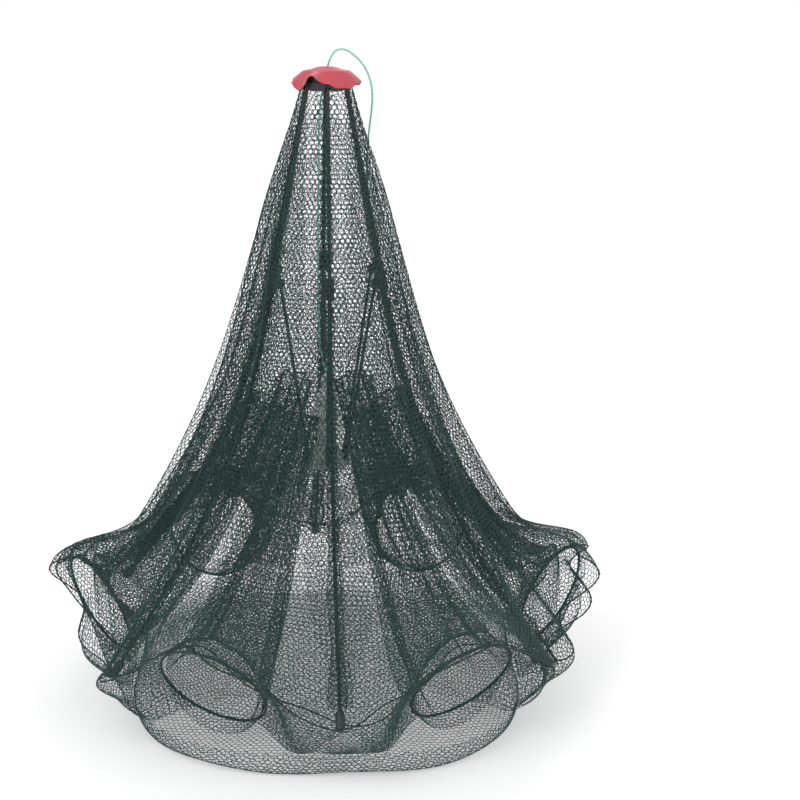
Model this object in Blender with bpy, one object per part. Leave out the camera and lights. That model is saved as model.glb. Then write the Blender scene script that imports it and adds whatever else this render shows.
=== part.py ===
"""Folding umbrella fish trap, half folded and standing on its base net.

Metres, +Z up, floor at z = 0, the pull twine's axis on the Z axis. Six rods hang from a hub
and are spread by six stretchers on a sliding runner. Each piece that swings is built in its
own frame, on an empty that sits on its joint: X along the joint, -Y outwards, Z up.
"""
import math

import bmesh
import bpy
import numpy as np
from mathutils import Matrix

MM = 0.001

# Frame of the trap
RIB_COUNT = 6
RIB_TURN = math.radians(3.0)
TIP_HEIGHT = 53.2 * MM
PIVOT_RADIUS = 16.5 * MM
FOLD_OPEN = math.radians(75.0)
CLEARANCE = 0.3 * MM
CUT_EXTRA = 0.1 * MM

# Rods
RIB_LENGTH = 475 * MM
RIB_RADIUS = 1.5 * MM
RIB_STRAIGHT = 130 * MM
RIB_LEAN_TOP = math.radians(12.0)
RIB_LEAN_TIP = math.radians(40.0)
EYE_RADIUS = 2.2 * MM
EYE_BORE = 1.1 * MM
EYE_THICKNESS = 2.4 * MM
EYE_WALL_MIDDLE = (EYE_BORE + EYE_RADIUS) / 2
STRETCHER_RADIUS = 1.2 * MM
STRETCHER_END_RADIUS = 1.8 * MM
STRETCHER_END_LENGTH = 14 * MM

# Collars on the rods, and the caps on their tips
COLLAR_STATION = 150 * MM
COLLAR_LENGTH = 16 * MM
COLLAR_RADIUS = 3.5 * MM
COLLAR_OFFSET = 6.2 * MM
CHEEK_THICKNESS = 1.5 * MM
CHEEK_WIDTH = 7 * MM
CHEEK_NOSE_WIDTH = 4 * MM
CHEEK_EDGE = 2.0 * MM
CHEEK_SHOULDER = 0.6 * MM
PIN_RADIUS = 0.8 * MM
CAP_LENGTH = 14 * MM
CAP_END = 3 * MM
CAP_LIP = 0.6 * MM
CAP_FLARE = 3 * MM
CAP_ROUND = 1.4 * MM

# Hub and runner
HUB_WIRE_RADIUS = 0.8 * MM
HUB_BORE = 12.9 * MM
HUB_WALL = 1.0 * MM
HUB_OUTER = 19.2 * MM
HUB_BOTTOM = 4.0 * MM
TEETH_TOP = 2.4 * MM
SLOT_WIDTH = 4.0 * MM
HUB_CAP_TOP = 6.2 * MM
HUB_CAP_OUTER = 18.2 * MM
HUB_CAP_EDGE = 1.0 * MM
FLOWER_RADIUS = 26 * MM
FLOWER_FLAT = 17 * MM
FLOWER_THICKNESS = 1.0 * MM
FLOWER_DROOP = 7.0 * MM
FLOWER_WAVE = 1.2 * MM
FLOWER_WAVES = 5
FLOWER_WAVE_PHASE = 1.0
FLOWER_LIP = 0.3 * MM
FLOWER_SCALLOPS = 20
FLOWER_SCALLOP_DEPTH = 0.7 * MM

# Runner: the stem's shoulder is a height above the wire, the stopper's heights are above its flange
PLUG_STEM_RADIUS = 7.0 * MM
PLUG_SHOULDER_RADIUS = 8.0 * MM
PLUG_SHOULDER_HEIGHT = 6.0 * MM
PLUG_STEM_FILLET = 3.0 * MM
PLUG_FLANGE_RADIUS = 12.5 * MM
PLUG_FLANGE_BEVEL = 1.5 * MM
PLUG_FLANGE_LEAD = 2.5 * MM
PLUG_FLANGE_LOW = 0.6 * MM
PLUG_FLANGE_HIGH = 2.2 * MM
PLUG_CONE_RADIUS = 9.9 * MM
PLUG_CONE_HEIGHT = 5.0 * MM
PLUG_WAIST_RADIUS = 7.6 * MM
PLUG_WAIST_HEIGHT = 8.2 * MM
PLUG_WAIST_LENGTH = 1.2 * MM
PLUG_BULB_RADIUS = 9.5 * MM
PLUG_BULB_HEIGHT = 14.0 * MM
PLUG_BULB_HALF = 2.5 * MM
PLUG_BULB_ROUND = 0.7 * MM
PLUG_NECK_RADIUS = 5.0 * MM
PLUG_NECK_HEIGHT = 21.5 * MM
PLUG_NECK_ROUND = 1.3 * MM
TAB_FOOT = 18.0 * MM
TAB_WIDTH = 9.0 * MM
TAB_THICKNESS = 3.5 * MM
TAB_TOP = 33.5 * MM
TAB_HOLE_RADIUS = 1.5 * MM

# Net
NET_THICKNESS = 1.2 * MM
NET_TOP = 9 * MM
NET_BULGE = 0.32
NET_BULGE_SKEW = 0.8
NET_TIP_INSET = 4 * MM
NET_TIP_FALL = 12 * MM
PANEL_COLUMNS = 5
MESH_TOP = 110 * MM
MESH_BAR = 2.4 * MM
MESH_BANDS = 5
NET_GAP = 0.4 * MM
SHOULDER_STATION = 365 * MM
WALL_RADIUS = 182 * MM
WALL_HEIGHT = 23.4 * MM
WALL_LEAN = 2 * MM
FLOOR_RADIUS = 170 * MM
HOOP_RADIUS = 42 * MM
HOOP_WIRE = 1.2 * MM
HOOP_CENTRE_RADIUS = 182 * MM
HOOP_CENTRE_HEIGHT = 70 * MM
HOOP_TILT = math.radians(32.0)
THROAT_RADIUS = 15 * MM
THROAT_CENTRE_RADIUS = 48 * MM
THROAT_HEIGHT = 240 * MM
HOOP_SPREAD = math.radians(22.0)
HOOP_SHOULDER = 20 * MM
HOOP_LIFT = 20 * MM
MID_PANEL_LEAD = 76 * MM
FUNNEL_REACH = 50 * MM
FUNNEL_DIP = 24 * MM

# Twine
TWINE_RADIUS = 1.0 * MM
KNOT_RADIUS = 2.6 * MM
TWINE_POINT_COUNT = 76
SPAN_POINT_COUNT = 24


def clear_scene():
    """Empties the scene of the objects that it opens with."""
    for item in list(bpy.data.objects):
        bpy.data.objects.remove(item, do_unlink=True)


def make_material(name, color, roughness, metallic=0.0):
    """A Principled material of one colour."""
    material = bpy.data.materials.new(name)
    material.use_nodes = True
    shader = material.node_tree.nodes["Principled BSDF"]
    shader.inputs["Base Color"].default_value = (*color, 1.0)
    shader.inputs["Roughness"].default_value = roughness
    shader.inputs["Metallic"].default_value = metallic
    return material


def make_mesh(name, points, faces):
    """A closed mesh from points and faces, with its faces turned outwards."""
    mesh = bpy.data.meshes.new(name)
    mesh.from_pydata([tuple(map(float, p)) for p in points], [], faces)
    work = bmesh.new()
    work.from_mesh(mesh)
    bmesh.ops.recalc_face_normals(work, faces=work.faces)
    if work.calc_volume(signed=True) < 0:
        bmesh.ops.reverse_faces(work, faces=work.faces)
    work.to_mesh(mesh)
    work.free()
    mesh.shade_smooth()
    mesh.set_sharp_from_angle(angle=math.radians(35))
    return mesh


def make_empty(name, location, turn=0.0, parent=None):
    """An empty on a joint's axis, which the pieces of a moving body hang from."""
    empty = bpy.data.objects.new(name, None)
    empty.location = location
    empty.rotation_euler = (0.0, 0.0, turn)
    empty.parent = parent
    bpy.context.collection.objects.link(empty)
    return empty


def make_piece(name, mesh, material, parent=None):
    """One named piece of the trap."""
    piece = bpy.data.objects.new(name, mesh)
    piece.parent = parent
    if not mesh.materials:
        mesh.materials.append(material)
    bpy.context.collection.objects.link(piece)
    return piece


def combine(base, tools, operation):
    """The mesh that is left after each tool mesh is joined to the base or cut from it."""
    body = bpy.data.objects.new("combine_base", base)
    bpy.context.collection.objects.link(body)
    helpers = [body]
    for tool in tools:
        helper = bpy.data.objects.new("combine_tool", tool)
        bpy.context.collection.objects.link(helper)
        helpers.append(helper)
        change = body.modifiers.new("combine", "BOOLEAN")
        change.operation = operation
        change.solver = "EXACT"
        change.object = helper
    bpy.context.view_layer.update()
    result = bpy.data.meshes.new_from_object(body.evaluated_get(bpy.context.evaluated_depsgraph_get()))
    result.name = base.name
    for helper in helpers:
        bpy.data.objects.remove(helper, do_unlink=True)
    result.shade_smooth()
    result.set_sharp_from_angle(angle=math.radians(35))
    return result


def ring_points(centre, side, up, radii, count, phase=0.0):
    """Points of an ellipse around a centre, from its two half axes' directions and lengths."""
    angle = phase + np.arange(count) * math.tau / count
    return centre + np.outer(np.cos(angle) * radii[0], side) + np.outer(np.sin(angle) * radii[1], up)


def loft(name, rings, closed_path=False):
    """A skin through rings of equally many points, with flat ends or joined to itself."""
    count = len(rings[0])
    points = np.vstack(rings)
    last = len(rings) if closed_path else len(rings) - 1
    faces = []
    for row in range(last):
        below = row * count
        above = (row + 1) % len(rings) * count
        for k in range(count):
            after = (k + 1) % count
            faces.append((below + k, below + after, above + after, above + k))
    if not closed_path:
        faces.append(tuple(range(count)))
        faces.append(tuple(range((len(rings) - 1) * count, len(rings) * count)))
    return make_mesh(name, points, faces)


def lathe(name, profile, steps, turn=0.0):
    """A closed outline of (radius, height) points turned round the Z axis."""
    angle = turn + np.arange(steps) * math.tau / steps
    points = []
    index = []
    for radius, height in profile:
        if radius == 0.0:
            index.append([len(points)] * steps)
            points.append((0.0, 0.0, height))
        else:
            index.append(list(range(len(points), len(points) + steps)))
            points.extend((radius * math.sin(a), -radius * math.cos(a), height) for a in angle)
    faces = []
    for here, there in zip(index, index[1:] + index[:1]):
        for k in range(steps):
            after = (k + 1) % steps
            corners = []
            for corner in (here[k], here[after], there[after], there[k]):
                if corner not in corners:
                    corners.append(corner)
            if len(corners) > 2:
                faces.append(tuple(corners))
    return make_mesh(name, points, faces)


def rod(name, start, end, radius, sides):
    """A straight round bar between two points."""
    start = np.array(start, float)
    end = np.array(end, float)
    along = (end - start) / np.linalg.norm(end - start)
    side = np.cross(along, (0.0, 0.0, 1.0) if abs(along[2]) < 0.9 else (1.0, 0.0, 0.0))
    side /= np.linalg.norm(side)
    up = np.cross(along, side)
    return loft(name, [ring_points(p, side, up, (radius, radius), sides) for p in (start, end)])


def tube(name, start, end, outer, bore, sides):
    """A straight bush between two points."""
    start = np.array(start, float)
    end = np.array(end, float)
    along = (end - start) / np.linalg.norm(end - start)
    side = np.cross(along, (0.0, 0.0, 1.0) if abs(along[2]) < 0.9 else (1.0, 0.0, 0.0))
    side /= np.linalg.norm(side)
    up = np.cross(along, side)
    rings = []
    for place, radius in ((start, outer), (end, outer), (end, bore), (start, bore)):
        rings.append(ring_points(place, side, up, (radius, radius), sides))
    return loft(name, rings, closed_path=True)


def box(name, low, high):
    """A block between two corners."""
    rings = []
    for z in (low[2], high[2]):
        rings.append(np.array([(low[0], low[1], z), (high[0], low[1], z),
                               (high[0], high[1], z), (low[0], high[1], z)]))
    return loft(name, rings)


def wire_ring(name, radius, thickness):
    """A ring of round wire about the Z axis."""
    rings = []
    for angle in np.arange(30) * math.tau / 30:
        out = np.array((math.sin(angle), -math.cos(angle), 0.0))
        rings.append(ring_points(out * radius, out, np.array((0.0, 0.0, 1.0)), (thickness, thickness), 5))
    return loft(name, rings, closed_path=True)


def ease(value):
    """Runs smoothly from 0 to 1 while value does."""
    value = np.clip(value, 0.0, 1.0)
    return value * value * (3.0 - 2.0 * value)


# The rod's bend: straight from the hub, then leaning out more and more towards its tip.
FINE_STATIONS = np.linspace(0.0, RIB_LENGTH, 401)
FINE_LEAN = RIB_LEAN_TOP + (RIB_LEAN_TIP - RIB_LEAN_TOP) * ease(
    (FINE_STATIONS - RIB_STRAIGHT) / (RIB_LENGTH - RIB_STRAIGHT))
FINE_STEP = FINE_STATIONS[1]
FINE_OUT = np.concatenate(([0.0], np.cumsum(np.sin((FINE_LEAN[1:] + FINE_LEAN[:-1]) / 2)))) * FINE_STEP
FINE_DOWN = np.concatenate(([0.0], np.cumsum(np.cos((FINE_LEAN[1:] + FINE_LEAN[:-1]) / 2)))) * FINE_STEP


def rib_at(station):
    """Distance out from the pivot, distance below it and lean of the rod at a station."""
    lean = float(np.interp(station, FINE_STATIONS, FINE_LEAN))
    past = max(0.0, station - RIB_LENGTH)
    out = float(np.interp(station, FINE_STATIONS, FINE_OUT)) + past * math.sin(lean)
    down = float(np.interp(station, FINE_STATIONS, FINE_DOWN)) + past * math.cos(lean)
    return out, down, lean


def rib_place(station, outwards=0.0):
    """A point on the rod in its body's frame, moved square to the rod by a distance."""
    out, down, lean = rib_at(station)
    return np.array((0.0, -(out + outwards * math.cos(lean)), -down + outwards * math.sin(lean)))


# The collar's pin, and from it the stretcher, whose length equals the pin's distance to the hub pivot.
PIN_PLACE = rib_place(COLLAR_STATION, -COLLAR_OFFSET)
LINK_LENGTH = float(np.linalg.norm(PIN_PLACE))
LINK_LEAN = math.atan2(-PIN_PLACE[1], -PIN_PLACE[2])
RUNNER_DROP = 2.0 * LINK_LENGTH * math.cos(LINK_LEAN)
HUB_HEIGHT = TIP_HEIGHT + rib_at(RIB_LENGTH)[1]
RUNNER_DROP_OPEN = 2.0 * LINK_LENGTH * math.cos(LINK_LEAN + FOLD_OPEN)
FLOWER_BOTTOM = HUB_CAP_TOP + CLEARANCE
PLUG_FLANGE_HEIGHT = RUNNER_DROP_OPEN + FLOWER_BOTTOM + FLOWER_THICKNESS + CLEARANCE
RUNNER_HEIGHT = HUB_HEIGHT - RUNNER_DROP
TAB_HOLE_HEIGHT = PLUG_FLANGE_HEIGHT + TAB_TOP - TAB_WIDTH / 2


def rotation_z(angle):
    """A turn about the Z axis."""
    return Matrix.Rotation(angle, 4, "Z")


def slotted(name, profile):
    """A turned hub with six slots for the eyes of rods, cut clear through its teeth."""
    base = lathe(name, profile, 36, RIB_TURN)
    cutters = []
    inner = HUB_BORE + HUB_WALL + CUT_EXTRA
    for k in range(RIB_COUNT):
        turn = RIB_TURN + k * math.tau / RIB_COUNT
        cutter = box("slot", (-SLOT_WIDTH / 2, -HUB_OUTER - PIVOT_RADIUS, -HUB_BOTTOM - PIVOT_RADIUS),
                     (SLOT_WIDTH / 2, -inner, TEETH_TOP + CUT_EXTRA))
        cutter.transform(rotation_z(turn))
        cutters.append(cutter)
    return combine(base, cutters, "DIFFERENCE")


def hub_body_mesh():
    """Hub: a bored tube with a ring of teeth, and a groove in them that holds the wire."""
    groove = HUB_WIRE_RADIUS + CLEARANCE
    teeth_wall = HUB_BORE + HUB_WALL
    return slotted("hub_body", [
        (HUB_BORE, -HUB_BOTTOM), (HUB_OUTER, -HUB_BOTTOM), (HUB_OUTER, TEETH_TOP),
        (PIVOT_RADIUS + groove, TEETH_TOP), (PIVOT_RADIUS + groove, -groove),
        (PIVOT_RADIUS - groove, -groove), (PIVOT_RADIUS - groove, TEETH_TOP),
        (teeth_wall, TEETH_TOP), (teeth_wall, HUB_CAP_TOP), (HUB_BORE, HUB_CAP_TOP)])


def hub_cap_mesh():
    """Cap ring over the hub's teeth, which keeps the wire in its groove."""
    inner = HUB_BORE + HUB_WALL + CLEARANCE
    low = TEETH_TOP + CLEARANCE
    return lathe("hub_cap", [(inner, low), (HUB_CAP_OUTER, low), (HUB_CAP_OUTER, HUB_CAP_TOP - HUB_CAP_EDGE),
                             (HUB_CAP_OUTER - HUB_CAP_EDGE, HUB_CAP_TOP), (inner, HUB_CAP_TOP)], 36)


def flower_mesh():
    """Soft washer: flat over the cap, then drooping more and more to a scalloped, wavy rim."""
    around = FLOWER_SCALLOPS * 3
    angle = np.arange(around) * math.tau / around
    rings = []
    for level in (0, 1):
        rows = []
        for radius in (HUB_BORE, *np.linspace(FLOWER_FLAT, FLOWER_RADIUS, 3)):
            share = max(0.0, (radius - FLOWER_FLAT) / (FLOWER_RADIUS - FLOWER_FLAT))
            scallop = FLOWER_SCALLOP_DEPTH * share ** 3 * (np.abs(np.cos(angle * FLOWER_SCALLOPS / 2)) - 1.0)
            wave = FLOWER_WAVE * share ** 2 * np.cos(FLOWER_WAVES * angle + FLOWER_WAVE_PHASE)
            height = FLOWER_BOTTOM + level * FLOWER_THICKNESS - FLOWER_DROOP * share ** 1.3 + wave
            reach = radius + scallop + FLOWER_LIP * level * share
            rows.append(np.stack([reach * np.sin(angle), -reach * np.cos(angle),
                                  np.broadcast_to(height, angle.shape)], 1))
        rings += rows if level == 0 else rows[::-1]
    return loft("flower_washer", rings, closed_path=True)


def runner_plug_mesh():
    """Runner: slotted base on a stem, with the stopper and the twine's tab above its flange."""
    groove = HUB_WIRE_RADIUS + CLEARANCE
    teeth_wall = HUB_BORE + HUB_WALL
    flange = PLUG_FLANGE_HEIGHT
    waist = flange + PLUG_WAIST_HEIGHT
    bulb = flange + PLUG_BULB_HEIGHT
    neck = flange + PLUG_NECK_HEIGHT
    body = slotted("runner_plug", [
        (0.0, -HUB_BOTTOM), (HUB_OUTER, -HUB_BOTTOM), (HUB_OUTER, TEETH_TOP),
        (PIVOT_RADIUS + groove, TEETH_TOP), (PIVOT_RADIUS + groove, -groove),
        (PIVOT_RADIUS - groove, -groove), (PIVOT_RADIUS - groove, TEETH_TOP),
        (teeth_wall, TEETH_TOP), (PLUG_SHOULDER_RADIUS, PLUG_SHOULDER_HEIGHT),
        (PLUG_STEM_RADIUS, PLUG_SHOULDER_HEIGHT + PLUG_STEM_FILLET),
        (PLUG_STEM_RADIUS, flange - PLUG_FLANGE_LEAD), (PLUG_FLANGE_RADIUS - PLUG_FLANGE_BEVEL, flange),
        (PLUG_FLANGE_RADIUS, flange + PLUG_FLANGE_LOW), (PLUG_FLANGE_RADIUS, flange + PLUG_FLANGE_HIGH),
        (PLUG_CONE_RADIUS, flange + PLUG_CONE_HEIGHT), (PLUG_WAIST_RADIUS, waist),
        (PLUG_WAIST_RADIUS, waist + PLUG_WAIST_LENGTH),
        (PLUG_BULB_RADIUS - PLUG_BULB_ROUND, bulb - PLUG_BULB_HALF), (PLUG_BULB_RADIUS, bulb),
        (PLUG_BULB_RADIUS - PLUG_BULB_ROUND, bulb + PLUG_BULB_HALF),
        (PLUG_NECK_RADIUS + PLUG_NECK_ROUND, neck - PLUG_NECK_ROUND), (PLUG_NECK_RADIUS, neck),
        (0.0, neck)])
    half = TAB_WIDTH / 2
    foot = flange + TAB_FOOT
    outline = [(-half, foot), (half, foot)]
    for angle in np.linspace(0.0, math.pi, 9):
        outline.append((half * math.cos(angle), TAB_HOLE_HEIGHT + half * math.sin(angle)))
    rings = [np.array([(x, y, z) for x, z in outline]) for y in (-TAB_THICKNESS / 2, TAB_THICKNESS / 2)]
    tab = loft("tab", rings)
    drill = rod("drill", (0.0, -TAB_THICKNESS, TAB_HOLE_HEIGHT), (0.0, TAB_THICKNESS, TAB_HOLE_HEIGHT),
                TAB_HOLE_RADIUS, 12)
    tab = combine(tab, [drill], "DIFFERENCE")
    return combine(body, [tab], "UNION")


def eye_mesh(centre):
    """Eye on the end of a rod, bored along X."""
    half = np.array((EYE_THICKNESS / 2, 0.0, 0.0))
    return tube("eye", centre - half, centre + half, EYE_RADIUS, EYE_BORE, 8)


def rib_mesh():
    """Rod with an eye at the hub, bent along its leaning path."""
    stations = np.concatenate(([EYE_WALL_MIDDLE], [RIB_STRAIGHT / 2],
                               np.linspace(RIB_STRAIGHT, RIB_LENGTH, 9)))
    rings = []
    for station in stations:
        lean = rib_at(station)[2]
        square = np.array((0.0, -math.cos(lean), math.sin(lean)))
        rings.append(ring_points(rib_place(station), np.array((1.0, 0.0, 0.0)), square,
                                 (RIB_RADIUS, RIB_RADIUS), 6))
    return combine(loft("rib", rings), [eye_mesh(np.zeros(3))], "UNION")


def tube_drill(radius):
    """A straight bar along the rod at the collar, to keep the collar's bore clear."""
    return rod("drill", rib_place(COLLAR_STATION - COLLAR_LENGTH), rib_place(COLLAR_STATION + COLLAR_LENGTH),
               radius, 10)


def collar_mesh():
    """Collar round the rod, with two cheeks and the pin that carries the stretcher's eye."""
    half = COLLAR_LENGTH / 2
    bore = RIB_RADIUS + CLEARANCE
    body = tube("collar", rib_place(COLLAR_STATION - half), rib_place(COLLAR_STATION + half),
                COLLAR_RADIUS, bore, 10)
    parts = []
    inside = EYE_THICKNESS / 2 + CLEARANCE
    wide = CHEEK_WIDTH / 2
    nose = CHEEK_NOSE_WIDTH / 2
    shoulder = COLLAR_OFFSET - CHEEK_SHOULDER
    edge = COLLAR_OFFSET + CHEEK_EDGE
    lean = rib_at(COLLAR_STATION)[2]
    along = np.array((0.0, -math.sin(lean), -math.cos(lean)))
    inward = np.array((0.0, math.cos(lean), -math.sin(lean)))
    centre = rib_place(COLLAR_STATION)
    for side in (-1.0, 1.0):
        outline = []
        for length, depth in ((-wide, bore), (wide, bore), (wide, shoulder), (nose, edge), (-nose, edge),
                              (-wide, shoulder)):
            outline.append(centre + along * length + inward * depth)
        outline = np.array(outline)
        near = np.array((side * inside, 0.0, 0.0))
        far = np.array((side * (inside + CHEEK_THICKNESS), 0.0, 0.0))
        parts.append(loft("cheek", [outline + near, outline + far]))
    reach = inside + CHEEK_THICKNESS / 2
    parts.append(rod("pin", PIN_PLACE + (-reach, 0, 0), PIN_PLACE + (reach, 0, 0), PIN_RADIUS, 8))
    solid = combine(body, parts, "UNION")
    drill = tube_drill(bore)
    return combine(solid, [drill], "DIFFERENCE")


def cap_mesh():
    """Blind cap on the rod's tip."""
    start = RIB_LENGTH + CAP_END - CAP_LENGTH
    lean = rib_at(RIB_LENGTH)[2]
    side = np.array((1.0, 0.0, 0.0))
    square = np.array((0.0, -math.cos(lean), math.sin(lean)))
    bore = RIB_RADIUS + CLEARANCE
    depth = RIB_LENGTH + CLEARANCE
    rings = []
    end = RIB_LENGTH + CAP_END
    for station, radius in ((depth, bore), (start, bore), (start, COLLAR_RADIUS - CAP_LIP),
                            (start + CAP_FLARE, COLLAR_RADIUS), (end - CAP_ROUND, COLLAR_RADIUS),
                            (end, COLLAR_RADIUS - CAP_ROUND)):
        rings.append(ring_points(rib_place(station), side, square, (radius, radius), 8))
    return loft("rib_tip_cap", rings)


def stretcher_mesh():
    """Stretcher from the collar's pin down to the runner, with an eye at each end."""
    lower = np.array((0.0, LINK_LENGTH * math.sin(LINK_LEAN), -LINK_LENGTH * math.cos(LINK_LEAN)))
    along = lower / LINK_LENGTH
    square = np.cross(along, (1.0, 0.0, 0.0))
    block_end = LINK_LENGTH - EYE_RADIUS - CLEARANCE
    block_start = block_end - STRETCHER_END_LENGTH
    rings = []
    for distance, radius in ((EYE_WALL_MIDDLE, STRETCHER_RADIUS), (block_start, STRETCHER_RADIUS),
                             (block_start + STRETCHER_RADIUS, STRETCHER_END_RADIUS),
                             (block_end, STRETCHER_END_RADIUS),
                             (LINK_LENGTH - EYE_WALL_MIDDLE, STRETCHER_RADIUS)):
        rings.append(ring_points(along * distance, np.array((1.0, 0.0, 0.0)), square, (radius, radius), 6))
    return combine(loft("stretcher", rings), [eye_mesh(np.zeros(3)), eye_mesh(lower)], "UNION")


def net_line(station):
    """Radius from the axis and height above the hub pivots of the net where it lies on a rod."""
    place = rib_place(station, COLLAR_RADIUS + CLEARANCE)
    return PIVOT_RADIUS - place[1], place[2]


def bulge(station):
    """How much further out than on the rods the net lies half way between them."""
    return NET_BULGE * math.sin(math.pi * min(1.0, station / RIB_LENGTH) ** NET_BULGE_SKEW)


def net_row(station, offsets):
    """A row of points across the net, at angles from a rod, in the frame of the hub's axis."""
    radius, height = net_line(station)
    reach = radius * (1.0 + bulge(station) * (1.0 - np.cos(RIB_COUNT * offsets)) / 2.0)
    return reach, height


def panel_offsets(radius, middle):
    """Angles across one panel of the net, which leaves half a gap at each edge."""
    half = math.pi / RIB_COUNT / 2 - math.asin(NET_GAP / 2 / radius)
    return middle + np.linspace(-half, half, PANEL_COLUMNS)


def opening_corners(corners):
    """The corners of a mesh opening inside four corners of a panel, half a bar in from each edge."""
    a, b, c, d = corners
    across = MESH_BAR / 2 / np.linalg.norm(b + c - a - d) * 2
    down = MESH_BAR / 2 / np.linalg.norm(c + d - a - b) * 2
    places = []
    for u, v in ((across, down), (1 - across, down), (1 - across, 1 - down), (across, 1 - down)):
        places.append(a * (1 - u) * (1 - v) + b * u * (1 - v) + c * u * v + d * (1 - u) * v)
    return places


def sheet_solid(name, grid, open_rows=()):
    """A sheet of even thickness behind a grid of points, closed round its edges.

    Each patch in the open rows has one plain opening through it, which stands for many mesh cells.
    """
    down = np.gradient(grid, axis=0)
    across = np.gradient(grid, axis=1)
    normal = np.cross(across, down)
    normal /= np.linalg.norm(normal, axis=2, keepdims=True)
    if (normal[..., 1] * grid[..., 1]).sum() < 0:
        normal = -normal
    rows, columns = grid.shape[:2]
    points = list(grid.reshape(-1, 3)) + list((grid + normal * NET_THICKNESS).reshape(-1, 3))
    back = rows * columns
    faces = []
    for i in range(rows - 1):
        for j in range(columns - 1):
            outer = (i * columns + j, i * columns + j + 1, (i + 1) * columns + j + 1, (i + 1) * columns + j)
            a, b, c, d = outer
            if i not in open_rows:
                faces += [(a, b, c), (a, c, d)]
                faces += [(back + c, back + b, back + a), (back + d, back + c, back + a)]
                continue
            front_inner = range(len(points), len(points) + 4)
            points += opening_corners([points[n] for n in outer])
            back_inner = range(len(points), len(points) + 4)
            points += opening_corners([points[back + n] for n in outer])
            for here in range(4):
                there = (here + 1) % 4
                faces += [(outer[here], outer[there], front_inner[there]),
                          (outer[here], front_inner[there], front_inner[here])]
                faces += [(back_inner[there], back + outer[there], back + outer[here]),
                          (back_inner[here], back_inner[there], back + outer[here])]
                faces += [(front_inner[here], front_inner[there], back_inner[there]),
                          (front_inner[here], back_inner[there], back_inner[here])]
    border = list(range(columns))
    border += [i * columns + columns - 1 for i in range(1, rows)]
    border += [(rows - 1) * columns + j for j in range(columns - 2, -1, -1)]
    border += [i * columns for i in range(rows - 2, 0, -1)]
    for a, b in zip(border, border[1:] + border[:1]):
        faces += [(a, b, back + b), (a, back + b, back + a)]
    return make_mesh(name, points, faces)


def in_body_frame(radius, offset, height):
    """A point from its radius and angle about the trap's axis, in the frame of a swinging body."""
    return np.stack([radius * np.sin(offset), PIVOT_RADIUS - radius * np.cos(offset),
                     np.broadcast_to(height, np.shape(offset))], -1)


def rib_panel_mesh():
    """Net along a rod: over its tip and down to the base net's wall."""
    rows = []
    for station in (NET_TOP, *np.linspace(MESH_TOP, RIB_LENGTH, MESH_BANDS + 1), RIB_LENGTH + CAP_END):
        radius = net_line(station)[0]
        offsets = panel_offsets(radius, 0.0)
        reach, height = net_row(station, offsets)
        rows.append(in_body_frame(reach, offsets, height))
    tip_out, tip_down, _ = rib_at(RIB_LENGTH + 2 * CAP_END)
    for radius, height in ((PIVOT_RADIUS + tip_out, -tip_down),
                           (PIVOT_RADIUS + tip_out - NET_TIP_INSET, -tip_down - NET_TIP_FALL),
                           (WALL_RADIUS, WALL_HEIGHT + CLEARANCE + NET_THICKNESS / 2 - HUB_HEIGHT)):
        offsets = panel_offsets(radius, 0.0)
        rows.append(in_body_frame(np.full(PANEL_COLUMNS, radius), offsets, height))
    return sheet_solid("net_rib_panel", np.array(rows), range(1, MESH_BANDS + 1))


def hoop_axes():
    """The entrance hoop's centre in a mid body's frame, and its directions across and up."""
    centre = np.array((0.0, PIVOT_RADIUS - HOOP_CENTRE_RADIUS, HOOP_CENTRE_HEIGHT - HUB_HEIGHT))
    up = np.array((0.0, -math.sin(HOOP_TILT), math.cos(HOOP_TILT)))
    return centre, np.array((-1.0, 0.0, 0.0)), up


def mid_panel_mesh():
    """Net between two rods: out over a shoulder to the upper half of the entrance hoop."""
    rows = []
    for station in (NET_TOP, *np.linspace(MESH_TOP, SHOULDER_STATION, MESH_BANDS)):
        radius = net_line(station)[0]
        offsets = panel_offsets(radius, 0.0)
        reach, height = net_row(station, offsets + math.pi / RIB_COUNT)
        rows.append(in_body_frame(reach, offsets, height))
    centre, side, up = hoop_axes()
    spread = np.linspace(HOOP_SPREAD, math.pi - HOOP_SPREAD, PANEL_COLUMNS)
    step = (spread[1] - spread[0]) / 2
    reach = (HOOP_RADIUS + HOOP_WIRE + NET_GAP) / math.cos(step)
    end = centre + np.outer(np.cos(spread) * reach, side) + np.outer(np.sin(spread) * reach, up)
    start = rows[-1]
    leaving = rows[-1] - rows[-2]
    leaving *= MID_PANEL_LEAD / np.linalg.norm(leaving, axis=1, keepdims=True)
    arriving = end + np.cross(side, up) * HOOP_SHOULDER + up * HOOP_LIFT
    for share in (0.25, 0.5, 0.75, 1.0):
        rest = 1.0 - share
        rows.append(start * rest ** 3 + (start + leaving) * 3 * rest ** 2 * share
                    + arriving * 3 * rest * share ** 2 + end * share ** 3)
    return sheet_solid("net_mid_panel", np.array(rows), range(1, MESH_BANDS + 1))


def hoop_mesh():
    """Wire hoop that holds an entrance open."""
    centre, side, up = hoop_axes()
    square = np.cross(side, up)
    rings = []
    for angle in np.arange(16) * math.tau / 16:
        out = side * math.cos(angle) + up * math.sin(angle)
        rings.append(ring_points(centre + out * HOOP_RADIUS, out, square, (HOOP_WIRE, HOOP_WIRE), 5))
    return loft("entrance_hoop", rings, closed_path=True)


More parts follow.
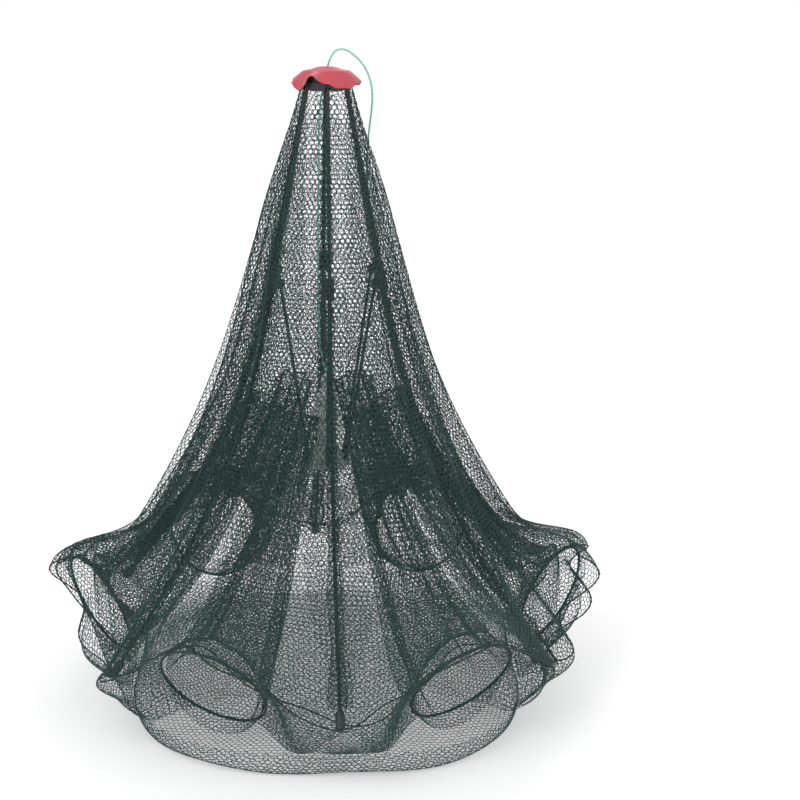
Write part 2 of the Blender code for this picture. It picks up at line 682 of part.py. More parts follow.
def funnel_mesh():
    """Net funnel from the hoop up and in to its throat, as a thin open tube."""
    centre, side, up = hoop_axes()
    inward = np.cross(side, up)
    throat = np.array((0.0, PIVOT_RADIUS - THROAT_CENTRE_RADIUS, THROAT_HEIGHT - HUB_HEIGHT))
    bend = centre + inward * FUNNEL_REACH - up * FUNNEL_DIP
    mouth = HOOP_RADIUS - HOOP_WIRE - CLEARANCE
    outside = []
    inside = []
    for share in np.linspace(0.0, 1.0, 5):
        rest = 1.0 - share
        place = centre * rest ** 2 + bend * 2 * rest * share + throat * share ** 2
        along = (bend - centre) * rest + (throat - bend) * share
        along /= np.linalg.norm(along)
        square = np.cross(along, side)
        radius = mouth + (THROAT_RADIUS - mouth) * float(ease(share * 0.8 + 0.1) - ease(0.1)) / float(
            ease(0.9) - ease(0.1))
        outside.append(ring_points(place, side, square, (radius, radius), 12))
        thin = radius - NET_THICKNESS
        inside.append(ring_points(place, side, square, (thin, thin), 12))
    return loft("funnel", outside + inside[::-1], closed_path=True)


def bottom_mesh():
    """Base net: a flat floor with a low wall that leans out."""
    profile = [(0.0, 0.0), (FLOOR_RADIUS * 0.5, 0.0), (FLOOR_RADIUS, 0.0),
               (WALL_RADIUS - WALL_LEAN, WALL_HEIGHT * 0.4), (WALL_RADIUS + NET_THICKNESS, WALL_HEIGHT),
               (WALL_RADIUS, WALL_HEIGHT), (WALL_RADIUS - WALL_LEAN - NET_THICKNESS, WALL_HEIGHT * 0.45),
               (FLOOR_RADIUS - CLEARANCE, NET_THICKNESS), (FLOOR_RADIUS * 0.5, NET_THICKNESS),
               (0.0, NET_THICKNESS)]
    return lathe("net_bottom", profile, 36, RIB_TURN)


def smooth_route(points, count):
    """Evenly spaced points on a smooth curve (centripetal Catmull-Rom) through the given ones."""
    points = np.array(points, float)
    padded = np.vstack([2 * points[0] - points[1], points, 2 * points[-1] - points[-2]])
    dense = []
    for k in range(1, len(padded) - 2):
        p0, p1, p2, p3 = padded[k - 1:k + 3]
        t1 = np.linalg.norm(p1 - p0) ** 0.5
        t2 = t1 + np.linalg.norm(p2 - p1) ** 0.5
        t3 = t2 + np.linalg.norm(p3 - p2) ** 0.5
        t = np.linspace(t1, t2, SPAN_POINT_COUNT, endpoint=k == len(padded) - 3)[:, None]
        a1 = (t1 - t) / t1 * p0 + t / t1 * p1
        a2 = (t2 - t) / (t2 - t1) * p1 + (t - t1) / (t2 - t1) * p2
        a3 = (t3 - t) / (t3 - t2) * p2 + (t - t2) / (t3 - t2) * p3
        b1 = (t2 - t) / t2 * a1 + t / t2 * a2
        b2 = (t3 - t) / (t3 - t1) * a2 + (t - t1) / (t3 - t1) * a3
        dense.append((t2 - t) / (t2 - t1) * b1 + (t - t1) / (t2 - t1) * b2)
    dense = np.vstack(dense)
    length = np.concatenate(([0.0], np.cumsum(np.linalg.norm(np.diff(dense, axis=0), axis=1))))
    even = np.linspace(0.0, length[-1], count)
    return np.stack([np.interp(even, length, dense[:, k]) for k in range(3)], 1), length[-1]


def twine_route():
    """The pull twine: through the tab's hole, up the axis, out of the hub and down behind the net."""
    hole = RUNNER_HEIGHT + TAB_HOLE_HEIGHT
    top = HUB_HEIGHT + HUB_CAP_TOP
    start = TAB_THICKNESS / 2 + CLEARANCE
    return [(0.0, -start, hole), (0.0, 0.0028, hole), (0.0, 0.0062, hole + 0.0028),
            (0.0, 0.0062, hole + 0.010), (0.0, 0.0030, hole + 0.030), (0.0, 0.0010, hole + 0.080),
            (0.0, 0.0, hole + 0.150), (0.0005, 0.0, top - 0.002), (0.0022, 0.0, top + 0.014),
            (0.0085, 0.0, top + 0.0255), (0.0180, 0.001, top + 0.0225), (0.0280, 0.002, top + 0.0130),
            (0.0345, 0.004, top + 0.0035), (0.0375, 0.007, top - 0.007), (0.0375, 0.011, top - 0.018),
            (0.0360, 0.016, top - 0.030), (0.0350, 0.022, top - 0.044), (0.0345, 0.030, top - 0.060),
            (0.0345, 0.039, top - 0.079), (0.0345, 0.049, top - 0.101), (0.0350, 0.059, top - 0.124)]


def make_twine(parent, points):
    """The twine as a tube along its route, in its parent's frame."""
    curve = bpy.data.curves.new("pull_twine", "CURVE")
    curve.dimensions = "3D"
    curve.bevel_depth = TWINE_RADIUS
    curve.bevel_resolution = 1
    curve.use_fill_caps = True
    spline = curve.splines.new("POLY")
    spline.points.add(len(points) - 1)
    for spot, place in zip(spline.points, points):
        spot.co = (*place, 1.0)
    twine = bpy.data.objects.new("pull_twine", curve)
    twine.parent = parent
    bpy.context.collection.objects.link(twine)
    return twine


def knot_mesh(name, centre, along):
    """A small knot on the twine: three turns of a ball's outline."""
    along = np.array(along, float) / np.linalg.norm(along)
    side = np.cross(along, (1.0, 0.0, 0.0) if abs(along[0]) < 0.9 else (0.0, 1.0, 0.0))
    side /= np.linalg.norm(side)
    up = np.cross(along, side)
    rings = []
    for share, swell in ((-1.0, 0.5), (-0.6, 0.9), (-0.2, 1.0), (0.2, 1.0), (0.6, 0.9), (1.0, 0.5)):
        radius = KNOT_RADIUS * swell
        rings.append(ring_points(np.array(centre) + along * KNOT_RADIUS * share, side, up,
                                 (radius, radius), 8))
    return loft(name, rings)


def build():
    """Makes each piece and hangs it from the empty of the body that it moves with."""
    clear_scene()
    black = make_material("black_plastic", (0.018, 0.019, 0.020), 0.45)
    rod_black = make_material("black_rod", (0.015, 0.016, 0.017), 0.32)
    steel = make_material("wire", (0.55, 0.56, 0.57), 0.35, 1.0)
    white = make_material("white_plastic", (0.86, 0.87, 0.86), 0.35)
    red = make_material("red_washer", (0.52, 0.045, 0.075), 0.55)
    net = make_material("green_net", (0.045, 0.105, 0.092), 0.7)
    cord = make_material("green_cord", (0.020, 0.048, 0.042), 0.75)
    mint = make_material("mint_twine", (0.36, 0.80, 0.66), 0.6)

    hub_pivot = (0.0, 0.0, HUB_HEIGHT)
    hub = make_empty("hub_axis", hub_pivot)
    make_piece("hub_body", hub_body_mesh(), black, hub)
    make_piece("hub_cap", hub_cap_mesh(), black, hub)
    make_piece("hub_wire", wire_ring("hub_wire", PIVOT_RADIUS, HUB_WIRE_RADIUS), steel, hub)
    make_piece("flower_washer", flower_mesh(), red, hub)
    make_piece("net_bottom", bottom_mesh(), net)

    rib = rib_mesh()
    collar = collar_mesh()
    cap = cap_mesh()
    stretcher = stretcher_mesh()
    rib_panel = rib_panel_mesh()
    mid_panel = mid_panel_mesh()
    hoop = hoop_mesh()
    funnel = funnel_mesh()
    first_stretcher = None
    for k in range(RIB_COUNT):
        number = k + 1
        turn = RIB_TURN + k * math.tau / RIB_COUNT
        place = (PIVOT_RADIUS * math.sin(turn), -PIVOT_RADIUS * math.cos(turn), HUB_HEIGHT)
        swing = make_empty(f"rib_axis_{number}", place, turn)
        make_piece(f"rib_{number}", rib, rod_black, swing)
        make_piece(f"rib_collar_{number}", collar, black, swing)
        make_piece(f"rib_tip_cap_{number}", cap, black, swing)
        make_piece(f"net_rib_panel_{number}", rib_panel, net, swing)
        fold = make_empty(f"stretcher_axis_{number}", tuple(PIN_PLACE), 0.0, swing)
        make_piece(f"stretcher_{number}", stretcher, rod_black, fold)
        first_stretcher = first_stretcher or fold
        turn += math.pi / RIB_COUNT
        place = (PIVOT_RADIUS * math.sin(turn), -PIVOT_RADIUS * math.cos(turn), HUB_HEIGHT)
        swing = make_empty(f"mid_axis_{number}", place, turn)
        make_piece(f"net_mid_panel_{number}", mid_panel, net, swing)
        make_piece(f"entrance_hoop_{number}", hoop, cord, swing)
        make_piece(f"funnel_{number}", funnel, net, swing)

    lower = (0.0, LINK_LENGTH * math.sin(LINK_LEAN), -LINK_LENGTH * math.cos(LINK_LEAN))
    joint = make_empty("runner_joint", lower, 0.0, first_stretcher)
    runner = make_empty("runner_axis", (0.0, PIVOT_RADIUS, 0.0), -RIB_TURN, joint)
    make_piece("runner_plug", runner_plug_mesh(), white, runner)
    make_piece("runner_wire", wire_ring("runner_wire", PIVOT_RADIUS, HUB_WIRE_RADIUS), steel, runner)
    route, length = smooth_route(twine_route(), TWINE_POINT_COUNT)
    route = route - (0.0, 0.0, RUNNER_HEIGHT)
    make_twine(runner, route).data.materials.append(mint)
    gap = CLEARANCE + KNOT_RADIUS
    tail = route[-1] - route[-2]
    tail /= np.linalg.norm(tail)
    make_piece("twine_stop_knot", knot_mesh("twine_stop_knot", route[0] - (0.0, gap, 0.0), (0, 1, 0)),
               mint, runner)
    make_piece("twine_end_knot", knot_mesh("twine_end_knot", route[-1] + tail * gap, tail), mint, runner)
    print(f"twine length {length:.4f} m, runner {RUNNER_DROP:.4f} m below the hub pivots,",
          f"stretcher lean {math.degrees(LINK_LEAN):.3f} degrees")


build()
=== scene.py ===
"""Looks of the folding fish trap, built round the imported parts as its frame.

Metres, +Z up. The trap's axis is the Z axis. Angles about it start at the front, -Y, and grow
towards +X. The six rods lie at ROD_TURN and every 60 degrees from there, and the net between two
rods swings on a body of its own, half way between them.
"""
import math

import bpy
import numpy as np
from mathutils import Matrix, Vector


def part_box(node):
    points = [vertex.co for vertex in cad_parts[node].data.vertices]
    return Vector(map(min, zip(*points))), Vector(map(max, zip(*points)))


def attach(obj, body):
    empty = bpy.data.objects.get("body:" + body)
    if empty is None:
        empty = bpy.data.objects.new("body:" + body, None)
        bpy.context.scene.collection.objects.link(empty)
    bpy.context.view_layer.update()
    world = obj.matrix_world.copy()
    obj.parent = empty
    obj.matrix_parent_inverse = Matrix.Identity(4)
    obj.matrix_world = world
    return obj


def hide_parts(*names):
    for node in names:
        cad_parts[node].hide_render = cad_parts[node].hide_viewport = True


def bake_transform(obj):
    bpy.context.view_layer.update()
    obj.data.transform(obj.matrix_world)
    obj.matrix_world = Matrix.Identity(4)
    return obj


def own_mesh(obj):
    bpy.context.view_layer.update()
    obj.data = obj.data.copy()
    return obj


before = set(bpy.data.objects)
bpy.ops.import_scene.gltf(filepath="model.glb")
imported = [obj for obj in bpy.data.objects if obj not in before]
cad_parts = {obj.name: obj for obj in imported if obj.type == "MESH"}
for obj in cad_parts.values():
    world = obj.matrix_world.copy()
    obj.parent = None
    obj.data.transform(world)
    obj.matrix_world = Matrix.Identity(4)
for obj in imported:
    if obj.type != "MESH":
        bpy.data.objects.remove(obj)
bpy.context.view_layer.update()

scene = bpy.context.scene

# The view: the trap stands on a plain pale floor, seen from a little above, left of the picture's
# middle, with soft light from all round and a stronger lamp over the left shoulder.
CAMERA_ELEVATION = math.radians(17.5)
CAMERA_DISTANCE = 1.46
CAMERA_AIM = Vector((0.0, 0.0, 0.2380))
CAMERA_LENS = 83.7
CAMERA_SHIFT = 0.092
FLOOR_SIZE = 4.0
FLOOR_LIFT = 0.28
WORLD_LIGHT = 0.55


def add_object(name, mesh):
    """Puts a mesh into the scene under a name."""
    made = bpy.data.objects.new(name, mesh)
    scene.collection.objects.link(made)
    return made


def grid_mesh(name, points, faces, smooth=True):
    """A mesh from an array of points and an array of faces with equally many corners."""
    mesh = bpy.data.meshes.new(name)
    faces = np.asarray(faces, np.int32)
    mesh.vertices.add(len(points))
    mesh.vertices.foreach_set("co", np.asarray(points, np.float32).ravel())
    mesh.loops.add(faces.size)
    mesh.loops.foreach_set("vertex_index", faces.ravel())
    mesh.polygons.add(len(faces))
    mesh.polygons.foreach_set("loop_start", np.arange(len(faces), dtype=np.int32) * faces.shape[1])
    mesh.polygons.foreach_set("loop_total", np.full(len(faces), faces.shape[1], np.int32))
    mesh.polygons.foreach_set("use_smooth", np.full(len(faces), smooth))
    mesh.update()
    mesh.validate()
    return mesh


class Socket:
    """A shader socket in an expression: + and * on values add Math nodes, node() adds any other."""

    def __init__(self, tree, output):
        self.tree = tree
        self.output = output

    def node(self, kind, settings=None, out=0, **inputs):
        """A node of a type, with its settings made first, then its inputs by name or as n0, n1, n2."""
        made = self.tree.nodes.new(kind)
        for key, value in (settings or {}).items():
            setattr(made, key, value)
        for key, value in inputs.items():
            numbered = key[0] == "n" and key[1:].isdigit()
            fill(made.inputs[int(key[1:]) if numbered else key.replace("_", " ")], value)
        return Socket(self.tree, made.outputs[out])

    def math(self, operation, first, second=0.0):
        """A Math node."""
        return self.node("ShaderNodeMath", {"operation": operation}, n0=first, n1=second)

    def __add__(self, other):
        return self.math("ADD", self, other)

    def __radd__(self, other):
        return self.math("ADD", other, self)

    def __mul__(self, other):
        return self.math("MULTIPLY", self, other)

    def __rmul__(self, other):
        return self.math("MULTIPLY", other, self)

    def blend(self, dark, light):
        """A colour between two, by this value."""
        return self.node("ShaderNodeMix", {"data_type": "RGBA"}, out=2, n0=self, n6=(*dark, 1.0),
                         n7=(*light, 1.0))


def fill(plug, value):
    """Links an expression to an input, or sets the input's own value."""
    if isinstance(value, Socket):
        value.tree.links.new(value.output, plug)
    else:
        plug.default_value = value


def new_material(name):
    """A new material, its shader and a socket of its object coordinates to start from."""
    material = bpy.data.materials.new(name)
    material.use_nodes = True
    tree = material.node_tree
    place = tree.nodes.new("ShaderNodeTexCoord")
    return material, tree.nodes["Principled BSDF"], Socket(tree, place.outputs["Object"])


def feed(shader, **inputs):
    """Fills a shader's inputs by name."""
    for key, value in inputs.items():
        fill(shader.inputs[key.replace("_", " ")], value)


def noise(place, scale, detail=3.0, roughness=0.55):
    """A cloudy value from 0 to 1 in the material's own coordinates."""
    return place.node("ShaderNodeTexNoise", Vector=place, Scale=scale, Detail=detail, Roughness=roughness)


def bumped(place, height, depth, strength):
    """A normal that follows a height, whose full range is a depth in metres."""
    return place.node("ShaderNodeBump", Height=height, Distance=depth, Strength=strength)


def seen_directly(tree):
    """1 for what the camera or a gloss sees, and 0 for what only lights the trap."""
    rays = tree.nodes.new("ShaderNodeLightPath")
    camera_ray = Socket(tree, rays.outputs["Is Camera Ray"])
    glossy_ray = Socket(tree, rays.outputs["Is Glossy Ray"])
    return camera_ray.math("MAXIMUM", camera_ray, glossy_ray)


def floor_material():
    """Pale matt floor, lifted to white for the camera and for gloss, so that its soft shadow stays."""
    material, shader, place = new_material("pale_floor")
    shade = noise(place, 3.0).blend((0.93, 0.93, 0.93), (0.96, 0.96, 0.96))
    feed(shader, Base_Color=shade, Roughness=0.9, Emission_Color=(1.0, 1.0, 1.0, 1.0),
         Emission_Strength=seen_directly(place.tree) * FLOOR_LIFT)
    return material


corner = FLOOR_SIZE / 2
ground = grid_mesh("floor", [(-corner, -corner, 0), (corner, -corner, 0), (corner, corner, 0),
                             (-corner, corner, 0)], [(0, 1, 2, 3)], smooth=False)
ground.materials.append(floor_material())
add_object("floor", ground)

camera_data = bpy.data.cameras.new("camera")
camera_data.lens = CAMERA_LENS
camera_data.sensor_width = 36.0
camera_data.shift_x = CAMERA_SHIFT
camera_data.clip_start = 0.05
camera = bpy.data.objects.new("camera", camera_data)
back = Vector((0.0, -math.cos(CAMERA_ELEVATION), math.sin(CAMERA_ELEVATION)))
camera.location = CAMERA_AIM + back * CAMERA_DISTANCE
camera.rotation_euler = back.to_track_quat("Z", "Y").to_euler()
scene.collection.objects.link(camera)
scene.camera = camera
scene.view_settings.view_transform = "Standard"


def area_lamp(name, place, size, power):
    """A soft square lamp that faces the trap."""
    data = bpy.data.lights.new(name, "AREA")
    data.size = size
    data.energy = power
    lamp = bpy.data.objects.new(name, data)
    lamp.location = place
    lamp.rotation_euler = (Vector(place) - CAMERA_AIM).to_track_quat("Z", "Y").to_euler()
    scene.collection.objects.link(lamp)


area_lamp("key_lamp", place=(-1.1, -1.5, 1.9), size=1.4, power=22.0)
area_lamp("fill_lamp", place=(1.6, -1.2, 1.2), size=1.4, power=9.0)
area_lamp("back_lamp", place=(0.3, 1.7, 1.6), size=1.2, power=9.0)
world = bpy.data.worlds.new("studio")
world.use_nodes = True
scene.world = world
sky_tree = world.node_tree
backdrop = sky_tree.nodes["Background"]
backdrop.inputs["Color"].default_value = (1.0, 1.0, 1.0, 1.0)
fill(backdrop.inputs["Strength"], seen_directly(sky_tree) * (1.0 - WORLD_LIGHT) + WORLD_LIGHT)

# Pull twine: 1.6 mm laid polyethylene twine in mint green. It is tied in the runner's tab, runs up
# the trap's axis, leaves through the hub and hangs down behind the net, with a knot at each end.
HUB_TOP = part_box("hub_body")[1].z
TAB_TOP_TO_HOLE = 0.0045
TAB_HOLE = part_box("runner_plug")[1].z - TAB_TOP_TO_HOLE
TWINE_DIAMETER = 0.0016
TWINE_STRANDS = 3
TWINE_LAY = 0.009
TWINE_RINGS = 420
TWINE_COLOR = (0.33, 0.80, 0.66)
KNOT_SIZE = 0.00054
KNOT_SQUEEZE = 0.92
KNOT_RINGS = 90


def smooth_route(points, count, span_steps=24):
    """Evenly spaced points on a centripetal Catmull-Rom curve through the given ones, and its length."""
    points = np.array(points, float)
    padded = np.vstack([2 * points[0] - points[1], points, 2 * points[-1] - points[-2]])
    dense = []
    for k in range(1, len(padded) - 2):
        p0, p1, p2, p3 = padded[k - 1:k + 3]
        t1 = np.linalg.norm(p1 - p0) ** 0.5
        t2 = t1 + np.linalg.norm(p2 - p1) ** 0.5
        t3 = t2 + np.linalg.norm(p3 - p2) ** 0.5
        t = np.linspace(t1, t2, span_steps, endpoint=k == len(padded) - 3)[:, None]
        a1 = (t1 - t) / t1 * p0 + t / t1 * p1
        a2 = (t2 - t) / (t2 - t1) * p1 + (t - t1) / (t2 - t1) * p2
        a3 = (t3 - t) / (t3 - t2) * p2 + (t - t2) / (t3 - t2) * p3
        b1 = (t2 - t) / t2 * a1 + t / t2 * a2
        b2 = (t3 - t) / (t3 - t1) * a2 + (t - t1) / (t3 - t1) * a3
        dense.append((t2 - t) / (t2 - t1) * b1 + (t - t1) / (t2 - t1) * b2)
    dense = np.vstack(dense)
    length = np.concatenate(([0.0], np.cumsum(np.linalg.norm(np.diff(dense, axis=0), axis=1))))
    even = np.linspace(0.0, length[-1], count)
    return np.stack([np.interp(even, length, dense[:, k]) for k in range(3)], 1), length[-1]


def path_frames(path, aside=(0.31, 0.92, 0.24)):
    """At each point of a path, its direction and two directions square to it that don't spin.

    The first is square to the path and to aside, a direction that no path starts along.
    """
    along = np.gradient(path, axis=0)
    along /= np.linalg.norm(along, axis=1, keepdims=True)
    side = np.cross(along[0], aside)
    sides = []
    for direction in along:
        side = side - direction * (side @ direction)
        side = side / np.linalg.norm(side)
        sides.append(side)
    sides = np.array(sides)
    return along, sides, np.cross(along, sides)


def tube_arrays(path, radius, sides, closed=False):
    """Points and quads of a round tube: each ring is path + radius * (cos a * side + sin a * up)."""
    _, across, up = path_frames(path)
    angle = np.arange(sides) * math.tau / sides
    ring = np.cos(angle)[None, :, None] * across[:, None] + np.sin(angle)[None, :, None] * up[:, None]
    points = (path[:, None] + ring * radius).reshape(-1, 3)
    rows = np.arange(len(path) if closed else len(path) - 1)[:, None] * sides
    after_row = (rows + sides) % (len(path) * sides)
    here = np.arange(sides)[None]
    there = (here + 1) % sides
    faces = np.stack([rows + here, rows + there, after_row + there, after_row + here], -1).reshape(-1, 4)
    return points, faces


def join_arrays(parts):
    """Several (points, faces) or (points, edges) pairs as one."""
    points = np.vstack([p for p, _ in parts])
    start = np.cumsum([0] + [len(p) for p, _ in parts[:-1]])
    return points, np.vstack([f + s for (_, f), s in zip(parts, start)])


def laid_cord(path, diameter, strands, lay, sides=5, swell=1.16):
    """A laid cord: each strand is a tube on a helix about the path, one turn in each lay's length.

    A strand is as thick as fits beside the others in the cord, times swell, so they press together.
    """
    _, across, up = path_frames(path)
    length = np.concatenate(([0.0], np.cumsum(np.linalg.norm(np.diff(path, axis=0), axis=1))))
    thin = diameter / 2 * math.sin(math.pi / strands) / (1 + math.sin(math.pi / strands)) * swell
    offset = diameter / 2 - thin
    parts = []
    for k in range(strands):
        turn = (length / lay * math.tau + k * math.tau / strands)[:, None]
        parts.append(tube_arrays(path + (np.cos(turn) * across + np.sin(turn) * up) * offset, thin, sides))
    return join_arrays(parts)


def fibre_material(name, dark, light, roughness, scale=900.0):
    """Plastic yarn: fine fibres and small changes of colour along it."""
    material, shader, place = new_material(name)
    cloud = noise(place, scale / 9)
    fibre = noise(place, scale, detail=2.0)
    feed(shader, Base_Color=(cloud * 0.6 + fibre * 0.4).blend(dark, light),
         Roughness=roughness + fibre * 0.15, Normal=bumped(place, fibre, 0.0001, 0.6))
    return material


twine_material = fibre_material("mint_twine", tuple(c * 0.82 for c in TWINE_COLOR), TWINE_COLOR, 0.5)
above = HUB_TOP
twine_points = [
    (0.0, -0.00205, TAB_HOLE), (0.0, 0.0028, TAB_HOLE), (0.0, 0.0062, TAB_HOLE + 0.0028),
    (-0.0020, 0.0062, TAB_HOLE + 0.010), (-0.0050, 0.0020, TAB_HOLE + 0.030),
    (-0.0062, 0.0, TAB_HOLE + 0.080), (-0.0060, 0.0, TAB_HOLE + 0.150),
    (-0.0045, 0.0, above - 0.022), (0.0, 0.0, above - 0.001), (0.0022, 0.0, above + 0.010),
    (0.0072, 0.0, above + 0.0175), (0.0140, 0.0005, above + 0.0180), (0.0210, 0.001, above + 0.0135),
    (0.0285, 0.002, above + 0.0050), (0.0330, 0.004, above - 0.0060), (0.0345, 0.007, above - 0.0170),
    (0.0340, 0.011, above - 0.0290), (0.0325, 0.017, above - 0.0440), (0.0315, 0.024, above - 0.0600),
    (0.0315, 0.033, above - 0.0790), (0.0325, 0.041, above - 0.1010), (0.0335, 0.048, above - 0.1240)]
twine_path, twine_length = smooth_route(twine_points, TWINE_RINGS)
points, faces = laid_cord(twine_path, TWINE_DIAMETER, TWINE_STRANDS, TWINE_LAY)
pull_twine = add_object("pull_twine_laid", grid_mesh("pull_twine_laid", points, faces))
pull_twine.data.materials.append(twine_material)
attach(pull_twine, "runner")
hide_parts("pull_twine")


def tied_knot(name, node, middle, axis):
    """A knot on the twine: the trefoil sin a + 2 sin 2a, cos a - 2 cos 2a, -1.3 sin 3a as a tube."""
    turn = np.arange(KNOT_RINGS) * math.tau / KNOT_RINGS
    shape = np.stack([np.sin(turn) + 2 * np.sin(2 * turn), np.cos(turn) - 2 * np.cos(2 * turn),
                      -1.3 * np.sin(3 * turn)], 1) * KNOT_SIZE
    square = np.array(Vector(axis).to_track_quat("Z", "Y").to_matrix())
    path = middle + shape @ square.T
    knot_points, knot_faces = tube_arrays(path, TWINE_DIAMETER / 2 * KNOT_SQUEEZE, sides=7, closed=True)
    knot = add_object(name, grid_mesh(name, knot_points, knot_faces))
    knot.data.materials.append(twine_material)
    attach(knot, "runner")
    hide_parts(node)
    return knot


tail = twine_path[-1] - twine_path[-2]
low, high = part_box("twine_stop_knot")
stop_knot = tied_knot("stop_knot_tied", "twine_stop_knot", np.array((low + high) / 2), (0.0, 1.0, 0.0))
end_knot = tied_knot("end_knot_tied", "twine_end_knot", twine_path[-1], tuple(tail))
for piece in (pull_twine, end_knot):
    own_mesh(piece)

# Hub, cap ring and runner: moulded plastic, black at the top, milky white for the runner with its
# stopper. Steel wires run through their grooves and carry the eyes of the rods and stretchers.


def moulded_material(name, color, roughness, grain=0.00004):
    """Moulded plastic: slightly cloudy colour, a fine grain and a few worn, duller patches."""
    material, shader, place = new_material(name)
    cloud = noise(place, 60.0)
    grit = noise(place, 1800.0, detail=1.0)
    feed(shader, Base_Color=cloud.blend(tuple(c * 0.86 for c in color), color),
         Roughness=roughness + cloud * 0.14, Normal=bumped(place, grit, grain, 0.5))
    return material


def wire_material():
    """Drawn steel wire: grey metal, a little darker and duller in spots."""
    material, shader, place = new_material("steel_wire")
    spot = noise(place, 300.0)
    feed(shader, Base_Color=spot.blend((0.42, 0.42, 0.43), (0.62, 0.62, 0.63)), Metallic=1.0,
         Roughness=0.28 + spot * 0.25)
    return material


def finish_node(name, material):
    """Gives a CAD node its finished material."""
    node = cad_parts[name]
    node.data.materials.clear()
    node.data.materials.append(material)


black_plastic = moulded_material("black_plastic", (0.022, 0.023, 0.024), 0.38)
white_plastic = moulded_material("milky_plastic", (0.80, 0.81, 0.80), 0.30)
feed(white_plastic.node_tree.nodes["Principled BSDF"], Subsurface_Weight=0.15, Subsurface_Scale=0.004)
steel = wire_material()
for name in ("hub_body", "hub_cap"):
    finish_node(name, black_plastic)
finish_node("runner_plug", white_plastic)
for name in ("hub_wire", "runner_wire"):
    finish_node(name, steel)

# Rods, stretchers, collars and tip caps: glass-fibre rods in black resin with a faint lengthwise
# grain, and black moulded collars and caps pushed onto them.
RODS = 6


def rod_material():
    """Pultruded rod: black resin with fibres along it, seen as streaks in the gloss."""
    material, shader, place = new_material("fibre_rod")
    stretched = place.node("ShaderNodeMapping", Vector=place, Scale=(900.0, 900.0, 25.0))
    streak = noise(stretched, 1.0)
    feed(shader, Base_Color=streak.blend((0.010, 0.011, 0.012), (0.030, 0.032, 0.033)),
         Roughness=0.24 + streak * 0.22, Normal=bumped(place, streak, 0.00005, 0.4))
    return material


fibre_rod = rod_material()
for k in range(1, RODS + 1):
    for name in (f"rib_{k}", f"stretcher_{k}"):
        finish_node(name, fibre_rod)
    for name in (f"rib_collar_{k}", f"rib_tip_cap_{k}"):
        finish_node(name, black_plastic)

# Flower washer: a soft red vinyl disc with a scalloped rim, flat over the hub and drooping in
# folds past it. It is cut from 1 mm sheet and held under the runner's flange when the trap is open.
WASHER_RADIUS = 0.026
WASHER_BORE = 0.0092
WASHER_FLAT = 0.017
WASHER_THICKNESS = 0.0010
WASHER_CLEARANCE = 0.0003
WASHER_COLUMNS = 288
WASHER_ROWS = (8, 26)
WASHER_DROOP = 0.0096
WASHER_TILT = 0.0058
SCALLOPS = 24
SCALLOP_DEPTH = 0.0011
RIPPLES = 13
RIPPLE_PLACE = 0.6
RIPPLE_DEPTH = 0.0005
LOBES = 4
LOBE_SHARES = (0.80, 0.20, 0.14)  # of the droop: even, in the lobes, and in two broad waves
LOBE_PLACES = (0.62, 0.5)  # radians
TUCK_START = 0.85
TUCK_SPAN = 0.2
TUCK_DEPTH = 0.0016
ARCH_PLACE = math.radians(-24.0)
ARCH_WIDTH = math.radians(17.0)
ARCH_RISE = 1.12
ARCH_REACH = 0.0018
WASHER_COLOR = (0.62, 0.075, 0.105)


def ease(value):
    """Runs smoothly from 0 to 1 while value does, as value squared times (3 - 2 * value)."""
    value = np.clip(value, 0.0, 1.0)
    return value * value * (3.0 - 2.0 * value)


def washer_surface(level):
    """A ring grid that slopes down from a crown, higher in front, and falls past the hub in lobes.

    One fold, a bell curve in the angle left of the front, lifts the rim back to the crown. Where a
    lobe hangs lowest, its rim is tucked in a little. The rim's edge is scalloped and ripples.
    """
    angle = np.arange(WASHER_COLUMNS) * math.tau / WASHER_COLUMNS
    radius = np.concatenate((np.linspace(WASHER_BORE, WASHER_FLAT, WASHER_ROWS[0], endpoint=False),
                             np.linspace(WASHER_FLAT, WASHER_RADIUS, WASHER_ROWS[1])))[:, None]
    share = np.clip((radius - WASHER_FLAT) / (WASHER_RADIUS - WASHER_FLAT), 0.0, 1.0)
    from_arch = (angle - ARCH_PLACE + math.pi) % math.tau - math.pi
    arch = np.exp(-(from_arch / ARCH_WIDTH) ** 2)
    even, swing, skew = LOBE_SHARES
    lobes = (even + swing * np.cos(LOBES * (angle - LOBE_PLACES[0]))
             - skew * np.sin(2 * angle + LOBE_PLACES[1]))
    scallop = SCALLOP_DEPTH * share ** 4 * (np.abs(np.cos(angle * SCALLOPS / 2)) ** 0.7 - 1.0)
    ripple = RIPPLE_DEPTH * share ** 2 * np.sin(RIPPLES * angle + RIPPLE_PLACE)
    fall = WASHER_DROOP * lobes * (1.0 - ARCH_RISE * arch)
    height = HUB_TOP + WASHER_CLEARANCE + level - fall * share ** 1.25 + ripple
    rise = (WASHER_RADIUS - radius) / (WASHER_RADIUS - WASHER_BORE)
    crown = WASHER_TILT * (1.0 + np.cos(angle)) / 2.0 * rise
    tuck = TUCK_DEPTH * share ** 2 * np.maximum(0.0, lobes - TUCK_START) / TUCK_SPAN
    reach = radius + scallop + ARCH_REACH * arch * share - tuck
    return np.stack([reach * np.sin(angle), -reach * np.cos(angle), height + crown], -1)


def closed_sheet(grid_low, grid_high):
    """A thin closed solid between two ring grids, whose second axis runs round."""
    rows, columns = grid_low.shape[:2]
    ring = np.concatenate([grid_low, grid_high[::-1]])
    points = ring.reshape(-1, 3)
    row = np.arange(2 * rows)[:, None] * columns
    next_row = (row + columns) % (2 * rows * columns)
    here = np.arange(columns)[None]
    there = (here + 1) % columns
    return points, np.stack([row + here, next_row + here, next_row + there, row + there], -1).reshape(-1, 4)


